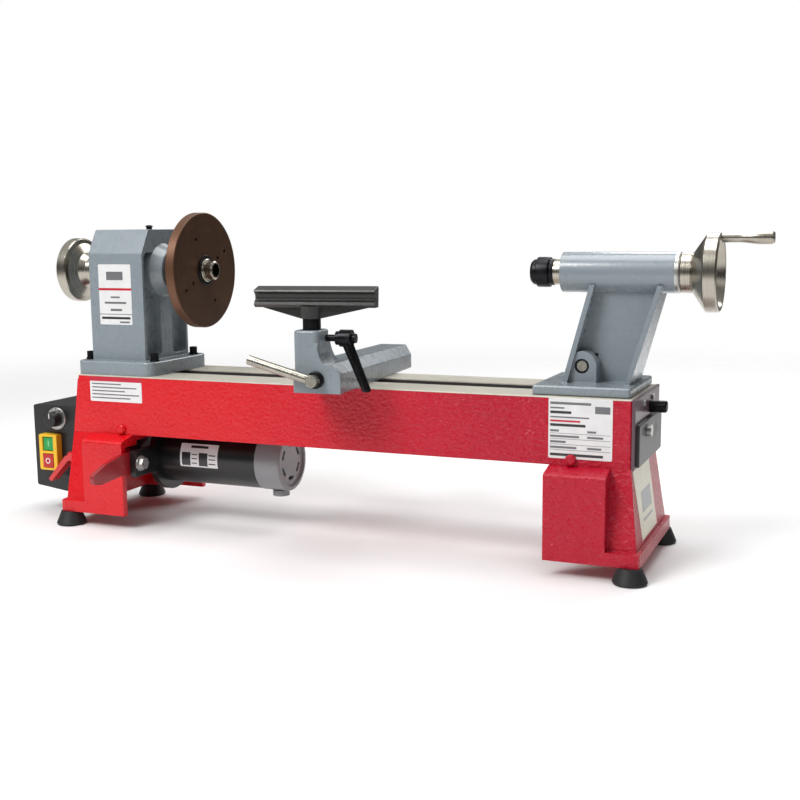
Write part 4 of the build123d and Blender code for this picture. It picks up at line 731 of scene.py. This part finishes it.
# ---------------------------------------------------------------- operators
class LATHE_OT_stage(bpy.types.Operator):
    """Make the camera, the floor and the soft light"""

    bl_idname = "lathe.stage"
    bl_label = "Stage"

    def execute(self, context):
        settings = context.scene.lathe_stage
        scene = context.scene
        scene.view_settings.view_transform = "Standard"
        let_go()
        bpy.ops.object.camera_add(location=settings.camera_place)
        camera = context.object
        camera.name = "studio_camera"
        camera.data.lens = settings.camera_lens
        camera.data.sensor_width = 36.0
        camera.data.dof.use_dof = False
        camera.rotation_euler = (
            Matrix.Rotation(settings.camera_turn, 3, "Z")
            @ Matrix.Rotation(pi / 2 + settings.camera_tilt, 3, "X")
            @ Matrix.Rotation(settings.camera_roll, 3, "Z")).to_euler()
        scene.camera = camera
        self.make_floor(settings)
        self.make_lights()
        self.make_world(scene)
        return {"FINISHED"}

    def make_floor(self, settings):
        let_go()
        bpy.ops.mesh.primitive_circle_add(vertices=96, radius=6.0, fill_type="TRIFAN",
                                          location=(0, 0, -0.0006))
        floor = bpy.context.object
        floor.name = "studio_floor"
        bpy.ops.object.transform_apply(location=True, rotation=True, scale=True)
        made = Finish("studio_floor", settings.floor_colour, roughness=0.75)
        x, y, _ = made.along()
        distance = made.math("SQRT", made.math("ADD", made.math("POWER", x, 2), made.math("POWER", y, 2)))
        clear = made.node("ShaderNodeBsdfTransparent")
        mixed = made.node("ShaderNodeMixShader")
        made.link(made.between(distance, 0.9, 2.6), mixed.inputs["Fac"])
        made.link(made.shader.outputs["BSDF"], mixed.inputs[1])
        made.link(clear.outputs["BSDF"], mixed.inputs[2])
        made.link(mixed.outputs["Shader"], made.tree.nodes["Material Output"].inputs["Surface"])
        made.colour(made.blend(made.noise(3, 2), tint(settings.floor_colour, 0.985), settings.floor_colour))
        floor.data.materials.append(made.material)

    def make_lights(self):
        for name, place, aim, size, power in (
                ("key_light", (-0.9, -1.7, 2.1), (0, 0, 0.2), 1.3, 52.0),
                ("side_light", (1.9, -0.8, 1.2), (0.1, 0, 0.25), 0.9, 1.5),
                ("back_light", (0.4, 1.9, 1.7), (0, 0, 0.25), 1.4, 22.0),
                ("top_light", (0.1, 0.1, 2.4), (0, 0, 0.2), 1.6, 26.0)):
            let_go()
            bpy.ops.object.light_add(type="AREA", location=place)
            light = bpy.context.object
            light.name = name
            light.data.shape = "DISK"
            light.data.size = size
            light.data.energy = power
            light.rotation_euler = (Vector(place) - Vector(aim)).to_track_quat("Z", "Y").to_euler()

    def make_world(self, scene):
        world = bpy.data.worlds.new("studio_air")
        scene.world = world
        world.use_nodes = True
        tree = world.node_tree
        sky = tree.nodes["Background"]
        path = tree.nodes.new("ShaderNodeLightPath")
        place = tree.nodes.new("ShaderNodeTexCoord")
        parts = tree.nodes.new("ShaderNodeSeparateXYZ")
        bands = tree.nodes.new("ShaderNodeValToRGB")
        lift = tree.nodes.new("ShaderNodeMapRange")
        seen = tree.nodes.new("ShaderNodeMix")
        seen.data_type = "RGBA"
        tree.links.new(place.outputs["Generated"], parts.inputs["Vector"])
        lift.inputs["From Min"].default_value = -1.0
        tree.links.new(parts.outputs["Z"], lift.inputs["Value"])
        tree.links.new(lift.outputs["Result"], bands.inputs["Fac"])
        ramp = bands.color_ramp
        ramp.elements[0].position = 0.0
        ramp.elements[0].color = (0.34, 0.34, 0.33, 1)
        ramp.elements[1].position = 1.0
        ramp.elements[1].color = (0.62, 0.63, 0.65, 1)
        for position, level in ((0.47, 0.30), (0.53, 0.07), (0.62, 0.14), (0.78, 0.55)):
            stop = ramp.elements.new(position)
            stop.color = (level, level * 0.985, level * 0.955, 1)
        tree.links.new(path.outputs["Is Camera Ray"], seen.inputs["Factor"])
        # the room is darker towards the tailstock's end
        dim = tree.nodes.new("ShaderNodeMapRange")
        dim.inputs["From Min"].default_value = -0.2
        dim.inputs["From Max"].default_value = 0.8
        dim.inputs["To Min"].default_value = 1.0
        dim.inputs["To Max"].default_value = 0.30
        tree.links.new(parts.outputs["X"], dim.inputs["Value"])
        shade = tree.nodes.new("ShaderNodeMix")
        shade.data_type = "RGBA"
        shade.blend_type = "MULTIPLY"
        shade.inputs["Factor"].default_value = 1.0
        tree.links.new(bands.outputs["Color"], shade.inputs["A"])
        tree.links.new(dim.outputs["Result"], shade.inputs["B"])
        tree.links.new(shade.outputs["Result"], seen.inputs["A"])
        seen.inputs["B"].default_value = (1.0, 1.0, 1.0, 1)
        tree.links.new(seen.outputs["Result"], sky.inputs["Color"])
        sky.inputs["Strength"].default_value = 1.0


class LATHE_OT_finishes(bpy.types.Operator):
    """Mix the finishes and paint the carried-over pieces with them"""

    bl_idname = "lathe.finishes"
    bl_label = "Finishes"

    def execute(self, context):
        mix_finishes(context.scene.lathe_finishes, context.scene.lathe_sizes)
        slots = {entry["node"]: entry["material_slot"] for entry in frame["record"]["subparts"]}
        for name, piece in frame["nodes"].items():
            piece.data.materials.clear()
            piece.data.materials.append(finish_of(slots[name]))
        for name, finish in (("belt_lock_lever", "lock_red"), ("cam_rod", "bright_steel"),
                             ("tailstock_clamp_lever", "bright_steel"),
                             ("leg_bolts", "red_hammered_paint"), ("end_cover", "box_black")):
            frame["nodes"][name].data.materials[0] = finish_of(finish)
        return {"FINISHED"}


class LATHE_OT_labels(bpy.types.Operator):
    """Make the blank labels with plain printed bars"""

    bl_idname = "lathe.labels"
    bl_label = "Labels"

    def execute(self, context):
        thickness = context.scene.lathe_sizes.label_thickness
        head_front = -0.0505
        self.headstock_label(thickness, Vector((bed_left + 0.0505, head_front, 0.3025)))
        self.safety_label(thickness, Vector((bed_left + 0.0605, bed_low.y, 0.180)))
        self.data_plate(thickness, Vector((bed_left + 0.679, bed_low.y, 0.163)))
        self.leg_label(thickness)
        self.motor_label()
        return {"FINISHED"}

    def leg_label(self, thickness):
        top = Vector((bed_high.x, 0, bed_low.z))
        foot = Vector((bed_high.x + 0.011, 0, 0.0325))
        lean = (top - foot).normalized()
        middle = top - lean * 0.044
        outline = [(-0.066, 0.041, 0.001), (-0.052, -0.040, 0.001),
                   (0.034, -0.040, 0.001), (0.026, 0.041, 0.001)]
        blank = slab("leg_label", outline, middle, Y_AXIS, lean, thickness)
        dress(blank, "frame", "label_cream")
        marks = [(-0.036, -0.012, 0.052, 0.0240, "label_grey"), (-0.036, -0.022, 0.052, 0.0030, "label_grey")]
        print_bars(blank, middle, Y_AXIS, lean, marks, thickness)

    def motor_label(self):
        left, right = bed_left + 0.133, bed_left + 0.190
        film_radius = 0.0381
        print_radius = 0.03845
        blank = wrapped("motor_label", (left, right), (radians(-14), radians(33)), film_radius, motor_height,
                        "label_white")
        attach(blank, "motor_set")
        marks = []
        for number, (start, end, low, high) in enumerate((
                (0.016, 0.042, 24, 29), (0.003, 0.016, -11, 15), (0.029, 0.042, -11, 15),
                (0.018, 0.026, 10, 12), (0.018, 0.026, 2, 4), (0.018, 0.026, -7, -5),
                (0.044, 0.054, 10, 12), (0.044, 0.054, 2, 4), (0.044, 0.054, -7, -5))):
            mark = wrapped(f"motor_mark_{number}", (left + start, left + end), (radians(low), radians(high)),
                           print_radius, motor_height, "label_black", 0.0002)
            marks.append(mark)
        join(blank, marks)

    def headstock_label(self, thickness, middle):
        width, height = 0.051, 0.079
        marks = [(-width / 2, 0.0055, width, 0.0030, "label_red"),
                 (-0.0130, 0.0190, 0.0260, 0.0110, "label_grey"),
                 (-0.0070, -0.0045, 0.0140, 0.0022, "label_grey"),
                 (-0.0170, -0.0120, 0.0340, 0.0026, "label_grey"),
                 (-0.0080, -0.0215, 0.0180, 0.0030, "label_grey"),
                 (-width / 2, -0.0262, width, 0.0009, "label_grey"),
                 (-0.0225, -0.0322, 0.0450, 0.0030, "label_black"),
                 (0.0060, -0.0372, 0.0150, 0.0022, "label_grey")]
        printed_label("headstock_label", middle, (width, height), marks, thickness)

    def safety_label(self, thickness, middle):
        width, height = 0.081, 0.033
        marks = [(-width / 2, 0.0102, width, 0.0063, "label_red")]
        margin, first_line, line_gap = 0.003, 0.0060, 0.0046
        for line, length in enumerate((0.046, 0.070, 0.052, 0.074, 0.060)):
            marks.append((-width / 2 + margin, first_line - line * line_gap, length, 0.0016, "label_grey"))
        printed_label("safety_label", middle, (width, height), marks, thickness)

    def data_plate(self, thickness, middle):
        width, height = 0.072, 0.068
        left, first_line, line_gap = -0.034, -0.0040, 0.0062
        marks = [(left, 0.0268, 0.046, 0.0028, "label_grey"), (left, 0.0220, 0.016, 0.0018, "label_grey"),
                 (left, 0.0165, 0.024, 0.0030, "label_black"), (left, 0.0118, 0.044, 0.0016, "label_grey"),
                 (left, 0.0072, 0.034, 0.0022, "label_red"), (0.0165, 0.0180, 0.0168, 0.0080, "label_grey"),
                 (left, 0.0022, 0.040, 0.0030, "label_black")]
        for line, (name_length, value_length) in enumerate(
                ((0.010, 0.010), (0.033, 0.018), (0.018, 0.0), (0.030, 0.016))):
            height_of_line = first_line - line * line_gap
            marks.append((left, height_of_line, name_length, 0.0024, "label_grey"))
            if value_length:
                marks.append((0.008, height_of_line, value_length, 0.0024, "label_grey"))
            marks.append((left, height_of_line - 0.0019, 0.068, 0.0005, "label_grey"))
        marks.append((left, -0.0312, 0.060, 0.0030, "label_black"))
        printed_label("data_plate", middle, (width, height), marks, thickness)


class LATHE_OT_handle(bpy.types.Operator):
    """Bend the tool rest's clamp handle out of one round bar"""

    bl_idname = "lathe.handle"
    bl_label = "Clamp handle"

    def execute(self, context):
        arm_turn = Matrix.Rotation(radians(5), 3, "Z")
        along = arm_turn @ X_AXIS
        back = arm_turn @ Y_AXIS
        low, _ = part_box("cam_handle")
        clamp = Vector((bed_left + 0.3753, 0, 0.214))
        collar_reach, bend_reach = 0.140, 0.1498
        start = clamp - back * collar_reach
        corner = clamp - back * bend_reach
        rise = radians(16)
        direction = -along * cos(rise) + Z_AXIS * sin(rise)
        end_margin, bend_radius, bar_radius = 0.0016, 0.0092, 0.0056
        reach = (corner.x - low.x - end_margin) / -direction.x
        points = elbow(start, corner, corner + direction * reach, bend_radius)
        handle = tube("bent_handle", points, bar_radius)
        dress(handle, "rest_cam", "bright_steel", "polished_steel", "cam_handle")
        return {"FINISHED"}


class LATHE_OT_spindle_trim(bpy.types.Operator):
    """Turn the dark ring round the spindle nose"""

    bl_idname = "lathe.spindle_trim"
    bl_label = "Spindle trim"

    def execute(self, context):
        steps = context.scene.lathe_sizes.turning_steps
        face = Vector((plate_high.x, 0, spindle_height))
        ring = turned("nose_ring", [(-0.0005, 0.0154, 0), (0.0012, 0.0154, 0.0003), (0.0012, 0.0195, 0.0005),
                                    (-0.0005, 0.0195, 0)], face, steps)
        dress(ring, "spindle_set", "black_steel", "black_steel")
        return {"FINISHED"}


class LATHE_OT_quill_nut(bpy.types.Operator):
    """Turn the two-step nut on the quill"""

    bl_idname = "lathe.quill_nut"
    bl_label = "Quill nut"

    def execute(self, context):
        steps = context.scene.lathe_sizes.turning_steps
        low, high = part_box("quill_cap")
        mouth = Vector((low.x, 0, spindle_height))
        length = high.x - low.x
        profile = [(0.0, 0.0094, 0.0003), (0.0, 0.0122, 0.0008), (0.0030, 0.0146, 0.0010),
                   (0.0068, 0.0146, 0.0006), (0.0072, 0.0174, 0.0012), (length - 0.0055, 0.0174, 0.0014),
                   (length - 0.0050, 0.0152, 0.0008), (length, 0.0152, 0.0006), (length, 0.0137, 0.0),
                   (0.0062, 0.0137, 0.0), (0.0062, 0.0094, 0.0)]
        nut = turned("quill_nut", profile, mouth, steps)
        dress(nut, "quill_set", "black_steel", "black_steel", "quill_cap")
        return {"FINISHED"}


class LATHE_OT_snap_ring(bpy.types.Operator):
    """Make the snap ring on the tailstock's clamp shaft"""

    bl_idname = "lathe.snap_ring"
    bl_label = "Snap ring"

    def execute(self, context):
        low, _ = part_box("tailstock_clamp_lever")
        shaft_place, shaft_height = bed_left + 0.669, 0.228
        middle = Vector((shaft_place, low.y, shaft_height))
        ring = turned("snap_ring", [(0.0001, 0.0062, 0), (-0.0012, 0.0062, 0.0002), (-0.0012, 0.0084, 0.0003),
                                    (0.0001, 0.0084, 0)], middle, SMALL_STEPS, Y_AXIS)
        dress(ring, "tail_clamp", "black_steel", "zinc_steel")
        return {"FINISHED"}


class LATHE_OT_controls(bpy.types.Operator):
    """Make the dial marks, the knob's pointer and the switch symbols"""

    bl_idname = "lathe.controls"
    bl_label = "Controls"

    def execute(self, context):
        self.dial_marks()
        self.knob_pointer()
        self.symbols()
        return {"FINISHED"}

    def dial_marks(self):
        low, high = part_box("dial_ring")
        middle = front_middle(low, high)
        first_angle, angle_gap, ring_radius = -135, 27, 0.0134
        marks = []
        for step in range(11):
            turn = Matrix.Rotation(radians(first_angle + angle_gap * step), 3, "Y")
            out = turn @ Z_AXIS
            side = turn @ X_AXIS
            place = middle + out * ring_radius
            mark = slab(f"dial_mark_{step}", box_corners(0.0007, 0.0028), place, side, out, 0.0002)
            mark.data.materials.append(finish_of("label_black"))
            marks.append(mark)
        dress(marks[0], "frame", "label_black")
        join(marks[0], marks[1:])

    def knob_pointer(self):
        low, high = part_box("speed_knob")
        pointer_rise = 0.0055
        middle = front_middle(low, high) + Z_AXIS * pointer_rise
        pointer = slab("knob_pointer", box_corners(0.0012, 0.0070, 0.0004), middle, X_AXIS, Z_AXIS, 0.0003)
        dress(pointer, "speed_dial", "label_white", "black_plastic")

    def symbols(self):
        low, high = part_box("start_button")
        middle = front_middle(low, high)
        bar = slab("start_symbol", box_corners(0.0014, 0.0075, 0.0004), middle, X_AXIS, Z_AXIS, 0.0003)
        dress(bar, "start_switch", "light_green", "green_plastic")
        low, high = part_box("stop_button")
        middle = front_middle(low, high)
        ring = turned("stop_symbol", [(0.0001, 0.0027, 0), (-0.0003, 0.0027, 0), (-0.0003, 0.0039, 0),
                                      (0.0001, 0.0039, 0)], middle, SMALL_STEPS, Y_AXIS)
        dress(ring, "stop_switch", "label_white", "red_plastic")


class LATHE_PT_panel(bpy.types.Panel):
    """Lists the lathe's settings and operators"""

    bl_idname = "LATHE_PT_panel"
    bl_label = "Wood Lathe"
    bl_space_type = "VIEW_3D"
    bl_region_type = "UI"
    bl_category = "Wood Lathe"

    def draw(self, context):
        for group in (context.scene.lathe_finishes, context.scene.lathe_sizes, context.scene.lathe_stage):
            column = self.layout.column()
            for name in group.__annotations__:
                column.prop(group, name)
        for operator in OPERATORS:
            self.layout.operator(operator.bl_idname)


OPERATORS = (LATHE_OT_stage, LATHE_OT_finishes, LATHE_OT_labels, LATHE_OT_handle, LATHE_OT_spindle_trim,
             LATHE_OT_quill_nut, LATHE_OT_snap_ring, LATHE_OT_controls)
CLASSES = (LatheFinishes, LatheSizes, LatheStage, *OPERATORS, LATHE_PT_panel)


def register():
    for made in CLASSES:
        bpy.utils.register_class(made)
    bpy.types.Scene.lathe_finishes = bpy.props.PointerProperty(type=LatheFinishes)
    bpy.types.Scene.lathe_sizes = bpy.props.PointerProperty(type=LatheSizes)
    bpy.types.Scene.lathe_stage = bpy.props.PointerProperty(type=LatheStage)


def unregister():
    del bpy.types.Scene.lathe_stage
    del bpy.types.Scene.lathe_sizes
    del bpy.types.Scene.lathe_finishes
    for made in reversed(CLASSES):
        bpy.utils.unregister_class(made)


def main():
    register()
    bpy.ops.lathe.stage()
    bpy.ops.lathe.finishes()
    bpy.ops.lathe.labels()
    bpy.ops.lathe.handle()
    bpy.ops.lathe.spindle_trim()
    bpy.ops.lathe.quill_nut()
    bpy.ops.lathe.snap_ring()
    bpy.ops.lathe.controls()
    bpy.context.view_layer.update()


if __name__ == "__main__":
    main()
